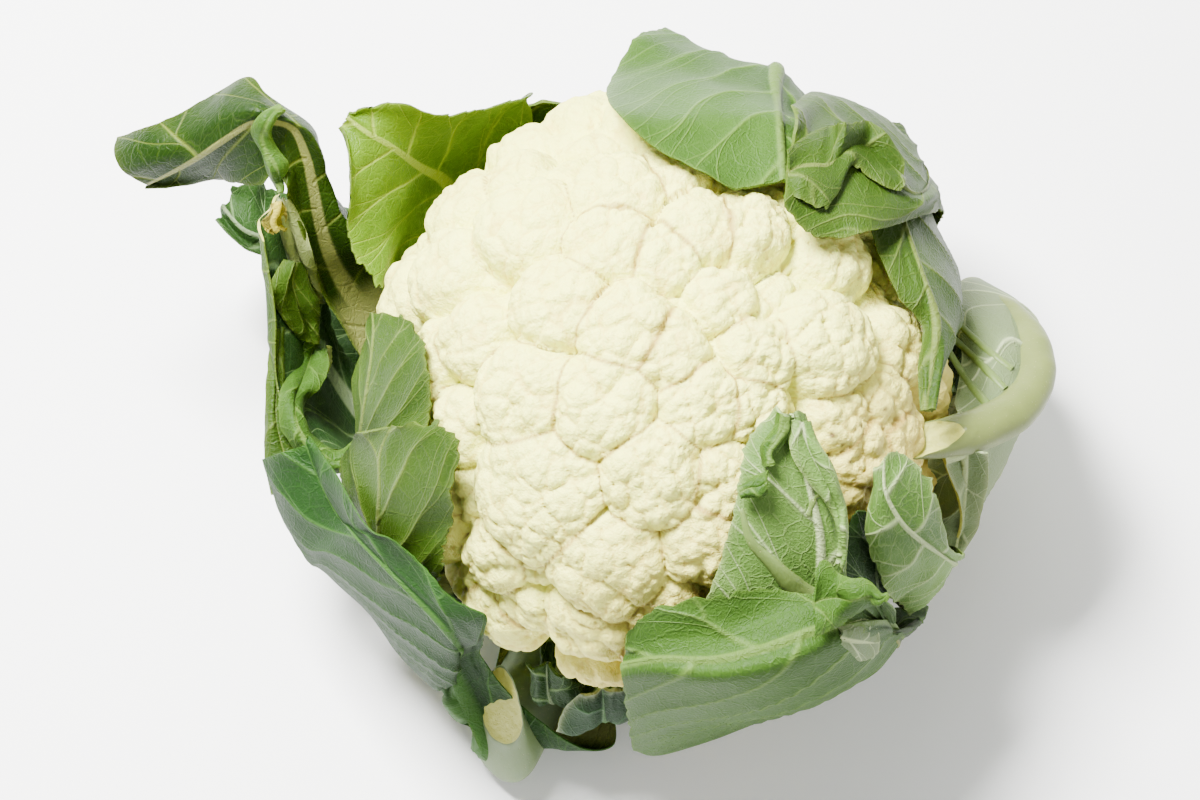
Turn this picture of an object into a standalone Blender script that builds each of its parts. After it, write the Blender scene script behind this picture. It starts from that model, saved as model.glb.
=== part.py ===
"""A cauliflower: curd, stalk and the cut leaves round it. Metres, +Z up, origin under the stalk.

Leaf points are given in millimetres as (across, up, height): where the point is seen along a
fixed slanting sight line, and its height above the table.
"""
import math

import bmesh
import bpy
import numpy as np
from mathutils import Vector

MM = 0.001

# Head, in mm
HEAD_Z = 78.0            # height of the widest part of the curd
HEAD_CENTRE = np.array((4.0, 2.0, HEAD_Z))
CURD_HALF = (79.5, 86.5, 68.0)   # half width, half depth and rise of the dome under its florets
FLORET_TOP = 8.0         # how far the florets stand off that dome, for the leaves on them
FLORET_SINK = 5.0        # how far the florets' feet are sunk in the dome
CURD_DROP = 41.0         # depth of the underside below the widest part
CURD_FOOT_Z = 44.3       # the flat where the curd meets the stalk
LOBE_RISE = 0.95         # a floret's height over its radius
LOBE_SPREAD = 1.12       # how far a floret reaches past its seen radius
LARGEST_LOBE = 15.0      # radius past which a floret is no higher
KNOBS = 8                # knobs on each floret
KNOB_RISE = 2.6          # their height
STALK_RADIUS = 27.0
STALK_TOP_Z = 44.0
STALK_SIDES = 30
STALK_PROFILE = ((0.0, 0.93), (2.0, 0.985), (9.0, 1.0), (20.0, 0.975), (32.0, 0.99), (42.0, 1.0),
                 (STALK_TOP_Z, 0.97))   # height and share of the radius
GAP = 0.5                # clear air between pieces that touch

# Leaves, in mm
BLADE = 1.0              # blade thickness
CURL_START = 0.62        # where along the blade's width a rolled margin starts to turn
SHARE = 4                # grid columns on each side of the rib
EXTRA_STATIONS = 9       # grid rows beyond one for each row of points
STEM_BEND = (56.0, 3.0, 1.25)    # each stem's second row: radius, rise and share of its half width
SPREAD = 0.9             # air kept between leaves that lie on each other
FLOOR_Z = 2.0            # lowest point of any leaf

# Sight line that the leaf points are read along
SIGHT_SLOPE = math.radians(65.0)
SIGHT_DISTANCE = 900.0
SIGHT_CENTRE = np.array((0.0, 0.0, HEAD_Z))
SIGHT_UP = np.array((0.0, math.sin(SIGHT_SLOPE), math.cos(SIGHT_SLOPE)))
SIGHT_EYE = SIGHT_CENTRE + SIGHT_DISTANCE * np.array((0.0, -math.cos(SIGHT_SLOPE), math.sin(SIGHT_SLOPE)))

# Florets seen on the dome: (across, up, radius)
FLORETS = (
    (-9, 62, 15), (-37, 52, 17), (-19, 88, 14), (-43, 82, 12), (-58, 62, 11), (5, 43, 12), (17, 52, 13),
    (-27, 28, 15), (-61, 38, 15), (-53, 18, 13), (-37, 0, 16), (-6, 20, 15), (-13, -3, 16), (6, 14, 13),
    (-32, -29, 21), (2, -24, 16), (24, 30, 11), (32, 52, 13), (59, 43, 13), (56, 16, 16), (78, 15, 13),
    (74, -2, 12), (35, 13, 12), (17, -3, 13), (33, -4, 11), (61, -7, 11), (68, -18, 12), (23, -27, 13),
    (18, -44, 14), (-12, -51, 18), (-47, -50, 12), (-53, -60, 8), (-38, -66, 10), (-17, -71, 14),
    (-33, -53, 8), (8, 68, 12), (0, 90, 13), (-41, 68, 11), (-66, 48, 9), (-66, 12, 11), (-59, -10, 12),
    (-57, -30, 9), (66, -30, 9), (48, 62, 12), (47, -30, 13), (5, -66, 12), (41, -52, 13),
)
FILL_FLORETS = 84        # even spread of florets that fills the sides and the back
FILL_RADIUS = 13.0


def sight(across, up, height):
    """The point at this height that is seen at (across, up)."""
    aim = SIGHT_CENTRE + across * np.array((1.0, 0.0, 0.0)) + up * SIGHT_UP
    along = (SIGHT_EYE[2] - height) / (SIGHT_EYE[2] - aim[2])
    return SIGHT_EYE + along * (aim - SIGHT_EYE)


def polar(radius, azimuth, height):
    turn = math.radians(azimuth)
    return np.array((radius * math.cos(turn), radius * math.sin(turn), height))


def unit(vectors):
    return vectors / np.maximum(np.linalg.norm(vectors, axis=-1, keepdims=True), 1e-9)


def core_radius(directions):
    """Distance from the head's centre to the plain dome under the florets."""
    half = np.where(directions[..., 2:3] >= 0, CURD_HALF[2], CURD_DROP)
    axes = np.concatenate((np.full_like(half, CURD_HALF[0]), np.full_like(half, CURD_HALF[1]), half), axis=-1)
    return 1.0 / np.linalg.norm(directions / axes, axis=-1)


def meet_dome(across, up, lift):
    """The first point on the sight line that is this far off the dome, or its nearest point."""
    aim = SIGHT_CENTRE + across * np.array((1.0, 0.0, 0.0)) + up * SIGHT_UP
    ray = unit(aim - SIGHT_EYE)
    steps = np.arange(SIGHT_DISTANCE - 130, SIGHT_DISTANCE + 60, 0.5)
    offsets = SIGHT_EYE + ray * steps[:, None] - HEAD_CENTRE
    excess = np.linalg.norm(offsets, axis=1) - core_radius(unit(offsets)) - lift
    inside = np.nonzero(excess < 0)[0]
    offset = offsets[inside[0] if len(inside) else excess.argmin()]
    direction = unit(offset)
    return HEAD_CENTRE + direction * (core_radius(direction) + lift)


def floret_directions():
    """Direction from the head's centre and angular radius of every floret."""
    found = []
    for across, up, radius in FLORETS:
        offset = meet_dome(across, up, FLORET_TOP * 0.6) - HEAD_CENTRE
        found.append((unit(offset), radius / np.linalg.norm(offset)))
    golden = math.pi * (3 - math.sqrt(5))
    for index in range(FILL_FLORETS):
        rise = 1 - 2 * (index + 0.5) / FILL_FLORETS
        if rise < -0.55:
            continue
        flat = math.sqrt(1 - rise * rise)
        direction = np.array((flat * math.cos(index * golden), flat * math.sin(index * golden), rise))
        size = FILL_RADIUS / core_radius(direction)
        near = min(math.acos(min(1.0, float(direction @ other))) - 0.75 * reach for other, reach in found)
        if near > 0.35 * size:
            found.append((direction, size))
    return found


def floret_relief(directions, florets):
    """Height of the florets over the dome, and for each point its floret and place on it."""
    best = np.zeros(len(directions))
    owner = np.full(len(directions), -1)
    for index, (axis, reach) in enumerate(florets):
        angle = np.arccos(np.clip(directions @ axis, -1, 1)) / (reach * LOBE_SPREAD)
        near = angle < 1
        size = min(reach * core_radius(axis), LARGEST_LOBE)
        height = np.zeros(len(directions))
        height[near] = size * LOBE_RISE * (1 - angle[near] ** 2.4) ** 0.5
        better = height > best
        best[better] = height[better]
        owner[better] = index
    return best, owner


def knob_relief(directions, florets, owner):
    """Knobs on each floret, set out in a sunflower spiral and smaller towards its rim."""
    height = np.zeros(len(directions))
    golden = math.pi * (3 - math.sqrt(5))
    for index, (axis, reach) in enumerate(florets):
        mine = np.nonzero(owner == index)[0]
        if not len(mine):
            continue
        side = unit(np.cross(axis, (0.3, 0.2, 0.9)))
        across = np.cross(axis, side)
        place = np.stack((directions[mine] @ side, directions[mine] @ across), axis=1) / (reach * LOBE_SPREAD)
        number = np.arange(KNOBS) + 0.5
        spiral = (number / KNOBS) ** 0.42
        turn = number * golden + index
        centres = np.stack((spiral * np.cos(turn), spiral * np.sin(turn)), axis=1)
        distance = np.linalg.norm(place[:, None, :] - centres[None, :, :], axis=2).min(axis=1)
        spacing = 1.25 / math.sqrt(KNOBS)
        knob = np.sqrt(np.clip(1 - (distance / spacing) ** 2, 0, 1))
        rim = np.linalg.norm(place, axis=1)
        height[mine] = KNOB_RISE * (0.55 + 0.6 * rim) * knob
    return height


def curd_radius(directions, florets):
    """Distance from the head's centre to the finished curd in each direction."""
    relief, owner = floret_relief(directions, florets)
    knob = knob_relief(directions, florets, owner)
    fade = np.clip((directions[:, 2] + 0.75) / 0.45, 0, 1)
    radius = core_radius(directions) + (relief + knob) * fade - FLORET_SINK
    floor = (HEAD_Z - CURD_FOOT_Z) / np.maximum(-directions[:, 2], 1e-6)
    return np.where(directions[:, 2] < 0, np.minimum(radius, floor), radius)


def make_curd(florets):
    mesh = bmesh.new()
    bmesh.ops.create_icosphere(mesh, subdivisions=5, radius=1.0)
    directions = np.array([vertex.co for vertex in mesh.verts])
    directions[:, 2] += 0.22
    directions = unit(directions)
    radius = curd_radius(directions, florets)
    for vertex, direction, distance in zip(mesh.verts, directions, radius):
        vertex.co = Vector((HEAD_CENTRE + direction * distance) * MM)
    bmesh.ops.recalc_face_normals(mesh, faces=mesh.faces)
    return add_object("curd", mesh)


def make_stalk():
    """A ribbed stem, cut flat at both ends."""
    mesh = bmesh.new()
    rings = []
    for level, factor in STALK_PROFILE:
        ring = []
        for side in range(STALK_SIDES):
            turn = 2 * math.pi * side / STALK_SIDES
            radius = STALK_RADIUS * factor * (1 - 0.02 * (1 + math.cos(5 * turn + 0.06 * level)))
            ring.append(mesh.verts.new(Vector(polar(radius, math.degrees(turn), level)) * MM))
        rings.append(ring)
    for low, high in zip(rings, rings[1:]):
        for side in range(STALK_SIDES):
            after = (side + 1) % STALK_SIDES
            mesh.faces.new((low[side], low[after], high[after], high[side]))
    mesh.faces.new(list(reversed(rings[0])))
    mesh.faces.new(rings[-1])
    bmesh.ops.recalc_face_normals(mesh, faces=mesh.faces)
    return add_object("stalk", mesh)


def at(across, up, height):
    """A leaf point at this height above the table."""
    return sight(across, up, height)


def on(across, up, lift):
    """A leaf point this far off the florets, where the sight line meets the curd."""
    return meet_dome(across, up, FLORET_TOP + lift)


def bent(radius, azimuth, height, spread=26.0):
    """A row of leaf points behind or under the head: rib, left edge, right edge."""
    return (polar(radius, azimuth, height), polar(radius, azimuth + spread, height),
            polar(radius, azimuth - spread, height))


# Each leaf: root = (azimuth, height) on the stalk, stem = its half width and depth there,
# tip = the same at the far end of the rib, then one row for each place along the rib:
# rib, left edge, right edge, seen from the head's axis. Bulge is outward, left and right.
LEAVES = {
    "leaf_inner_left": dict(
        root=(-168, 37), stem=(9, 5), tip=(3, 0.8), bulge=(1, 1), wave=(0.8, 5), teeth=(1.2, 0), rows=(
            (on(-84, -36, 2), on(-70, -34, 1), on(-91, -34, 2)),
            (on(-83, -22, 2), on(-66, -18, 1), on(-90, -20, 2)),
            (on(-83, -8, 2), on(-64, -5, 1), on(-90, -8, 2)),
            (on(-81, 6, 2), on(-63, 8, 1), on(-89, 7, 2)),
            (on(-80, 16, 2), on(-66, 17, 1), on(-87, 17, 2)),
            (on(-80, 24, 1), on(-73, 24, 1), on(-84, 25, 1)))),
    "leaf_inner_bottom": dict(
        root=(-112, 37), stem=(8, 4), tip=(2, 0.6), bulge=(2, 2), wave=(1.2, 4), teeth=(1.5, 1.5), rows=(
            (at(-28, -91, 38), at(-20, -90, 41), at(-33, -90, 38)),
            (at(-29, -86, 46), at(-19, -86, 50), at(-34, -86, 46)),
            (at(-29, -79, 54), at(-22, -80, 57), at(-36, -80, 53)))),
    "leaf_inner_right": dict(
        root=(-60, 37), stem=(9, 5), tip=(2, 0.6), bulge=(1, 1), wave=(0.8, 4), teeth=(0, 0), rows=(
            (on(67, -62, 1), on(76, -58, 1), on(57, -60, 1)),
            (on(68, -46, 1), on(79, -42, 2), on(59, -45, 1)),
            (on(69, -34, 1), on(76, -33, 1), on(62, -34, 1)))),
    "leaf_folded_right": dict(
        root=(-20, 37), stem=(9, 5), tip=(1.6, 1.2), bulge=(1, 2), wave=(0.8, 5), teeth=(1.2, 0), rows=(
            (at(91, -49, 66), at(93, -46, 62), at(77, -64, 52)),
            (on(84, -44, 12), on(90, -42, 13), on(73, -60, 4)),
            (on(78, -40, 11), on(88, -35, 13), on(69, -56, 4)),
            (on(73, -33, 10), on(86, -26, 12), on(65, -45, 4)),
            (on(70, -24, 8), on(81, -20, 9), on(64, -34, 3)),
            (on(71, -18, 6), on(75, -16, 6), on(67, -24, 2)))),
    "leaf_inner_upper_left": dict(
        root=(140, 37), stem=(10, 6), tip=(2, 1.0), bulge=(2, 3), wave=(2.0, 5), teeth=(1.5, 0.6), rows=(
            (at(-60, 64, 66), at(-76, 30, 74), at(-34, 86, 76)),
            (at(-65, 67, 80), at(-77, 32, 86), at(-35, 91, 90)),
            (at(-70, 70, 91), at(-82, 34, 93), at(-49, 86, 98)),
            (at(-75, 74, 100), at(-87, 45, 100), at(-61, 83, 104)),
            (at(-82, 78, 108), at(-89, 59, 106), at(-73, 88, 112)),
            (at(-88, 82, 112), at(-91, 72, 110), at(-82, 84, 112)),
            (at(-90, 84, 113), at(-91, 80, 112), at(-88, 86, 113)))),
    "leaf_left_wrap": dict(
        root=(-142, 25), stem=(10, 6), tip=(2, 1.0), bulge=(1, 2), wave=(1.0, 6), teeth=(1.5, 0), rows=(
            (at(-76, -60, 44), at(-62, -62, 54), at(-86, -52, 38)),
            (on(-74, -50, 4), on(-60, -52, 1), on(-84, -46, 3)),
            (on(-76, -38, 4), on(-57, -40, 1), on(-88, -36, 4)),
            (on(-76, -28, 5), on(-55, -28, 2), on(-92, -27, 6)),
            (on(-76, -16, 5), on(-53, -13, 3), on(-92, -18, 7)),
            (on(-73, -9, 5), on(-60, -7, 3), on(-84, -11, 6)))),
    "leaf_upright_right": dict(
        root=(-52, 25), stem=(10, 7), tip=(2, 1.2), bulge=(1, 2), wave=(0.8, 6), teeth=(0.8, 0), curl=(60, 0),
        rows=(
            (on(50, -62, 3), on(55, -58, 3), on(17, -60, 2)),
            (on(51, -50, 4), on(58, -50, 4), on(22, -49, 2)),
            (on(51, -38, 5), on(58, -38, 5), on(26, -35, 2)),
            (on(48, -26, 5), on(57, -27, 4), on(28, -22, 2)),
            (on(45, -15, 4), on(52, -15, 3), on(31, -12, 2)),
            (on(43, -5, 3), on(47, -5, 2), on(39, -4, 2)))),
    "leaf_inner_front": dict(
        root=(-92, 25), stem=(8, 5), tip=(2, 0.8), bulge=(2, 2), wave=(0.8, 4), teeth=(0, 0), rows=(
            (at(-12, -95, 38), at(-2, -95, 40), at(-25, -95, 40)),
            (at(-12, -89, 48), at(-2, -90, 49), at(-23, -89, 49)),
            (at(-12, -82, 57), at(-5, -83, 58), at(-18, -83, 57)))),
    "leaf_top": dict(
        root=(72, 37), stem=(11, 7), tip=(1.5, 1.0), bulge=(-2, 1), wave=(1.2, 6), teeth=(1.2, 0.6), rows=(
            bent(97, 70, 66, 20),
            (at(39, 97, 104), at(5, 108, 84), at(49, 88, 94)),
            (at(38, 91, 115), at(-3, 101, 95), at(52, 84, 104)),
            (at(38, 85, 122), at(-8, 88, 104), at(54, 79, 112)),
            (on(39, 79, 5), on(-6, 75, 3), on(55, 74, 5)),
            (on(40, 72, 4), on(5, 70, 2), on(50, 67, 4)),
            (on(41, 63, 2), on(24, 60, 1), on(46, 60, 2)))),
    "leaf_cut_right": dict(
        root=(2, 13), stem=(11, 9), tip=(8, 7), bulge=(8, 4), wave=(0.5, 5), teeth=(0, 0), rows=(
            (at(116, 9, 48), at(101, 34, 40), at(106, -14, 40)),
            (at(117, 8, 70), at(94, 34, 62), at(103, -20, 46)),
            (at(111, 0, 87), at(86, 26, 77), at(97, -34, 42)),
            (at(102, -8, 95), at(82, 17, 79), at(91, -40, 40)),
            (at(93, -13, 98), at(81, 7, 83), at(86, -44, 36)),
            (at(84, -15, 99), at(78, -2, 88), at(82, -46, 36)))),
    "leaf_side_right": dict(
        root=(24, 25), stem=(10, 6), tip=(1.6, 1.0), bulge=(1, 3), wave=(0.8, 6), teeth=(0, 0.8),
        lies_by=("leaf_cut_right",), rows=(
            bent(98, 28, 56, 18),
            (at(66, 72, 90), at(57, 80, 96), at(71, 72, 80)),
            (on(74, 63, 4), on(63, 65, 2), at(79, 63, 94)),
            (on(77, 51, 5), on(68, 48, 2), at(87, 51, 92)),
            (on(82, 37, 6), on(75, 31, 2), at(93, 39, 92)),
            (on(87, 23, 7), on(82, 21, 2), at(95, 26, 91)),
            (on(86, 9, 7), on(82.5, 8, 4), on(89, 9.5, 6)),
            (on(84, -5, 7), on(83.2, -5, 6.5), on(84.8, -5, 7)))),
    "leaf_top_right": dict(
        root=(50, 13), stem=(11, 7), tip=(1.6, 1.0), bulge=(2, 2), wave=(1.2, 6), teeth=(1.0, 1.2), rows=(
            bent(108, 50, 62, 15),
            (on(71, 62, 9), at(67, 77, 90), on(69, 49, 8)),
            (on(62, 70, 9), at(55, 79, 100), on(61, 47, 6)),
            (on(52, 73, 8), at(45, 82, 106), on(50, 48, 5)),
            (on(42, 71, 7), on(41, 79, 8), on(40, 55, 5)))),
    "leaf_back": dict(
        root=(108, 25), stem=(11, 7), tip=(3, 2), bulge=(3, 3), wave=(1.4, 6), teeth=(0, 0), rows=(
            bent(96, 112, 46, 16), bent(103, 112, 60, 15), bent(103, 112, 72, 11))),
    "leaf_left_broken": dict(
        root=(-174, 13), stem=(11, 8), tip=(4, 3), bulge=(4, 1), wave=(0.6, 4), teeth=(0, 0), rows=(
            (at(-97, 12, 43), at(-93, -16, 60), at(-94, 22, 47)),
            (at(-100, 22, 58), at(-99, -16, 66), at(-96, 32, 62)),
            (at(-102, 31, 72), at(-105, -10, 71), at(-99, 39, 74)),
            (at(-106, 39, 82), at(-110, 2, 76), at(-103, 45, 83)),
            (at(-108, 46, 90), at(-111, 18, 82), at(-106, 49, 91)),
            (at(-110, 52, 97), at(-112, 34, 90), at(-107, 55, 98)),
            (at(-112, 56, 102), at(-114, 46, 97), at(-109, 60, 104)))),
    "leaf_flopped": dict(
        root=(163, 25), stem=(11, 8), tip=(1.4, 1.6), bulge=(2, -5), wave=(2.0, 7), teeth=(0, 0.6),
        lies_by=("leaf_left_broken",), rows=(
            (at(-88, 30, 60), at(-93, 24, 62), at(-80, 38, 62)),
            (at(-95, 46, 85), at(-100, 42, 86), at(-86, 52, 84)),
            (at(-98, 66, 107), at(-107, 60, 108), at(-91, 66, 100)),
            (at(-104, 79, 121), at(-111, 67, 113), at(-94, 76, 112)),
            (at(-115, 81, 124), at(-115, 63, 108), at(-108, 87, 120)),
            (at(-132, 72, 113), at(-129, 64, 98), at(-124, 94, 118)),
            (at(-141, 67, 104), at(-139, 63, 95), at(-141, 82, 112)),
            (at(-145, 65, 99), at(-145, 62, 94), at(-157, 86, 105)),
            (at(-149, 63, 95), at(-150, 62, 92), at(-160, 77, 101)))),
    "leaf_lower_right": dict(
        root=(-46, 13), stem=(10, 8), tip=(2, 1.4), bulge=(1, 0), wave=(1.2, 7), teeth=(1.0, 0.8), rows=(
            (at(60, -60, 58), on(64, -54, 12), at(63, -54, 42)),
            (on(44, -62, 8), on(46, -56, 8), at(52, -58, 44)),
            (on(29, -69, 8), on(30, -56, 5), at(34, -69, 44)),
            (on(14, -74, 8), on(14, -58, 4), at(18, -82, 45)),
            (on(2, -75, 7), on(0, -62, 3), at(3, -96, 47)),
            (on(-6, -78, 5), on(-5, -69, 3), at(-3, -96, 46)))),
    "leaf_cut_front": dict(
        root=(-118, 13), stem=(13, 9), tip=(2, 1.2), bulge=(1, 3), wave=(1.2, 6), teeth=(0.8, 0), rows=(
            (at(-45, -106, 12), at(-12, -102, 24), at(-50, -98, 20)),
            (at(-57, -84, 36), at(-43, -79, 46), at(-60, -87, 30)),
            (on(-61, -67, 10), on(-50, -64, 8), at(-66, -84, 36)),
            (on(-73, -55, 11), on(-61, -57, 8), at(-78, -72, 42)),
            (on(-84, -44, 13), on(-73, -45, 10), at(-92, -56, 48)),
            (on(-94, -34, 14), on(-86, -34, 12), at(-105, -44, 54)),
            (on(-102, -26, 16), on(-95, -22, 15), at(-112, -32, 62)),
            (on(-109, -16, 18), on(-103, -13, 17), at(-114, -19, 70)))),
    "leaf_left_back": dict(
        root=(134, 13), stem=(10, 7), tip=(2, 1.2), bulge=(3, 3), wave=(1.2, 5), teeth=(0, 0),
        lies_by=("leaf_flopped",), rows=(
            bent(104, 146, 34, 14),
            (at(-113, 47, 44), at(-108, 41, 42), at(-112, 62, 46)),
            (at(-121, 50, 48), at(-120, 44, 46), at(-116, 63, 50)),
            (at(-127, 57, 50), at(-129, 53, 49), at(-124, 63, 52)))),
}


# The cut stem of leaf_cut_front: top point, bottom point and half width of each ring, stalk to cut
CUT_STEM = (
    (polar(46, -118, 20), polar(46, -118, 6), 9),
    (polar(66, -118, 22), polar(70, -118, 3), 12),
    (at(-41, -84, 34), at(-42, -115, 7), 11),
    (at(-43, -81, 43), at(-43, -105, 25), 8),
)
RING_POINTS = 20


def spline(points, places):
    """Points read off a smooth curve through the given ones, at places from 0 to 1."""
    points = np.asarray(points, dtype=float)
    steps = np.linalg.norm(np.diff(points[:, :3], axis=0), axis=1)
    knots = np.concatenate(((0.0,), np.cumsum(steps)))
    knots /= knots[-1]
    slopes = np.gradient(points, knots, axis=0)
    index = np.clip(np.searchsorted(knots, places, side="right") - 1, 0, len(knots) - 2)
    span = (knots[index + 1] - knots[index])[:, None]
    t = (np.asarray(places)[:, None] - knots[index][:, None]) / span
    start, end = points[index], points[index + 1]
    ease_in, ease_out = slopes[index] * span, slopes[index + 1] * span
    return ((2 * t**3 - 3 * t**2 + 1) * start + (t**3 - 2 * t**2 + t) * ease_in
            + (3 * t**2 - 2 * t**3) * end + (t**3 - t**2) * ease_out)


def leaf_rows(leaf):
    """Rib, left and right points from the stalk to the tip, as one row of nine numbers each."""
    azimuth, height = leaf["root"]
    half = leaf["stem"][0]
    rows = []
    for radius, rise, widen in ((STALK_RADIUS + GAP, 0.0, 1.0), STEM_BEND):
        lean = math.degrees(math.asin(half * widen / radius))
        rib = polar(radius, azimuth, height + rise)
        left = polar(radius, azimuth + lean, height + rise + 1.0)
        right = polar(radius, azimuth - lean, height + rise + 1.0)
        rows.append(np.concatenate((rib, left, right)))
    rows.extend(np.concatenate(row) for row in leaf["rows"])
    return np.array(rows)


def side_curve(rib, edge, outward, bulge, curl, fractions):
    """Points from the rib to one edge: bulged outward, with the last part rolled up."""
    reach = edge - rib
    points = []
    for part in fractions:
        points.append(rib + reach * part + outward * bulge * 4 * part * (1 - part))
    if curl:
        along = unit(reach)
        width = np.linalg.norm(reach) * (1 - CURL_START)
        bend = width / math.radians(curl)
        origin = rib + reach * CURL_START + outward * bulge * 4 * CURL_START * (1 - CURL_START)
        for index, part in enumerate(fractions):
            if part > CURL_START:
                turn = math.radians(curl) * (part - CURL_START) / (1 - CURL_START)
                points[index] = (origin + along * bend * math.sin(turn)
                                 - outward * bend * (1 - math.cos(turn)))
    return points


def base_grid(leaf, stations, columns):
    """Inner face of the leaf as a grid from foot to tip and from left edge to right."""
    places = np.linspace(0, 1, stations) ** 0.92
    rows = spline(leaf_rows(leaf), places)
    ribs, lefts, rights = rows[:, 0:3], rows[:, 3:6], rows[:, 6:9]
    along = unit(np.gradient(ribs, axis=0))
    outward = -unit(np.cross(unit(rights - lefts), along))
    grown = np.clip((places - 0.25) / 0.2, 0, 1)
    curls = leaf.get("curl", (0, 0))
    grid = []
    ribs_half = np.linspace(leaf["stem"][0], leaf["tip"][0], stations)
    for station in range(stations):
        line = []
        for side, edge in ((0, lefts[station]), (1, rights[station])):
            width = np.linalg.norm(edge - ribs[station])
            inner = min(0.7, ribs_half[station] / max(width, 1e-6))
            fractions = np.concatenate(((inner,), inner + (1 - inner) * np.arange(1, columns) / (columns - 1)))
            wave = leaf["wave"][0] * grown[station] * math.sin(2 * math.pi * leaf["wave"][1] * places[station] + side)
            bulge = leaf["bulge"][side] * grown[station]
            curl = curls[side] * grown[station]
            points = side_curve(ribs[station], edge, outward[station], bulge, curl, fractions)
            points = [point + outward[station] * wave * part**2 for point, part in zip(points, fractions)]
            tooth = leaf["teeth"][side] * grown[station] * (1 if station % 2 else -1)
            points[-1] = points[-1] + unit(points[-1] - points[-2]) * tooth
            line.append(points)
        grid.append(list(reversed(line[0])) + [ribs[station]] + line[1])
    return np.array(grid)


def grid_normals(grid):
    """Direction out of the inner face at each point of the grid."""
    return unit(np.cross(np.gradient(grid, axis=1), np.gradient(grid, axis=0)))


def thickness(leaf, grid):
    """Blade thickness, with the rib's depth added along the middle."""
    stations, width = grid.shape[:2]
    middle = width // 2
    depth = np.linspace(1, 0, stations)[:, None] ** 2.0
    depth = leaf["tip"][1] + (leaf["stem"][1] - leaf["tip"][1]) * depth
    half = np.linspace(leaf["stem"][0], leaf["tip"][0], stations)[:, None] * 1.02
    offset = np.linalg.norm(grid - grid[:, middle:middle + 1], axis=2)
    return BLADE + depth * np.sqrt(np.clip(1 - (offset / half) ** 2, 0, 1))


# The space already taken round the head's centre, by direction
CELL = math.radians(2.0)
AROUND = 180
RISES = 90


def cells(points):
    offset = points - HEAD_CENTRE
    distance = np.linalg.norm(offset, axis=-1)
    turn = np.arctan2(offset[..., 1], offset[..., 0]) % (2 * math.pi)
    rise = np.arcsin(np.clip(offset[..., 2] / np.maximum(distance, 1e-6), -1, 1)) + math.pi / 2
    column = (turn / CELL).astype(int) % AROUND
    row = np.clip((rise / CELL).astype(int), 0, RISES - 1)
    return row, column, distance


def densify(grid, factor):
    """The same surface with more points, evenly between the given ones."""
    for axis in (0, 1):
        count = grid.shape[axis]
        places = np.linspace(0, count - 1, (count - 1) * factor + 1)
        low = np.minimum(places.astype(int), count - 2)
        part = (places - low).reshape([-1 if a == axis else 1 for a in range(grid.ndim)])
        grid = np.take(grid, low, axis=axis) * (1 - part) + np.take(grid, low + 1, axis=axis) * part
    return grid


def start_space(florets):
    """Reach of the curd in each direction."""
    row, column = np.meshgrid(np.arange(RISES), np.arange(AROUND), indexing="ij")
    rise = (row + 0.5) * CELL - math.pi / 2
    turn = (column + 0.5) * CELL
    directions = np.stack((np.cos(rise) * np.cos(turn), np.cos(rise) * np.sin(turn), np.sin(rise)), axis=-1)
    return curd_radius(directions.reshape(-1, 3), florets).reshape(RISES, AROUND)


def neighbours_most(space):
    """Each direction's reach, raised to its neighbours' where theirs is more."""
    most = space.copy()
    for up in (-1, 0, 1):
        lifted = np.roll(space, up, axis=0)
        for turn in (-1, 0, 1):
            most = np.maximum(most, np.roll(lifted, turn, axis=1))
    return most


def clear_of(spaces, leaf, grid):
    """Moves the leaf's points out from the head's centre until it clears what is there."""
    factor = 3
    taken = [space for name, space in spaces.items() if name not in leaf.get("lies_by", ())]
    reach = neighbours_most(np.max(taken, axis=0)) + SPREAD
    moved = 0.0
    for _ in range(3):
        outer = grid - grid_normals(grid) * thickness(leaf, grid)[..., None]
        need = np.zeros(grid.shape[:2])
        for face in (grid, outer):
            dense = densify(face, factor)
            row, column, distance = cells(dense)
            short = np.where(np.hypot(dense[..., 0], dense[..., 1]) < 50, 0, reach[row, column] - distance)
            for i in range(short.shape[0]):
                for j in range(short.shape[1]):
                    if short[i, j] > 0:
                        for a in {i // factor, -(-i // factor)}:
                            for b in {j // factor, -(-j // factor)}:
                                need[a, b] = max(need[a, b], short[i, j])
        if need.max() <= 0.01:
            break
        push = need.copy()
        for _ in range(8):
            padded = np.pad(push, 1, mode="edge")
            smooth = (padded[:-2, 1:-1] + padded[2:, 1:-1] + padded[1:-1, :-2] + padded[1:-1, 2:]
                      + 2 * push) / 6
            push = np.maximum(need, smooth)
        push[0] = 0
        moved = max(moved, float(push.max()))
        grid = grid + unit(grid - HEAD_CENTRE) * push[..., None]
    return grid, moved


def taken_space(leaf, grid):
    space = np.zeros((RISES, AROUND))
    outer = grid - grid_normals(grid) * thickness(leaf, grid)[..., None]
    for face in (grid, outer):
        row, column, distance = cells(densify(face, 7))
        np.maximum.at(space, (row, column), distance)
    return space


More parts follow.
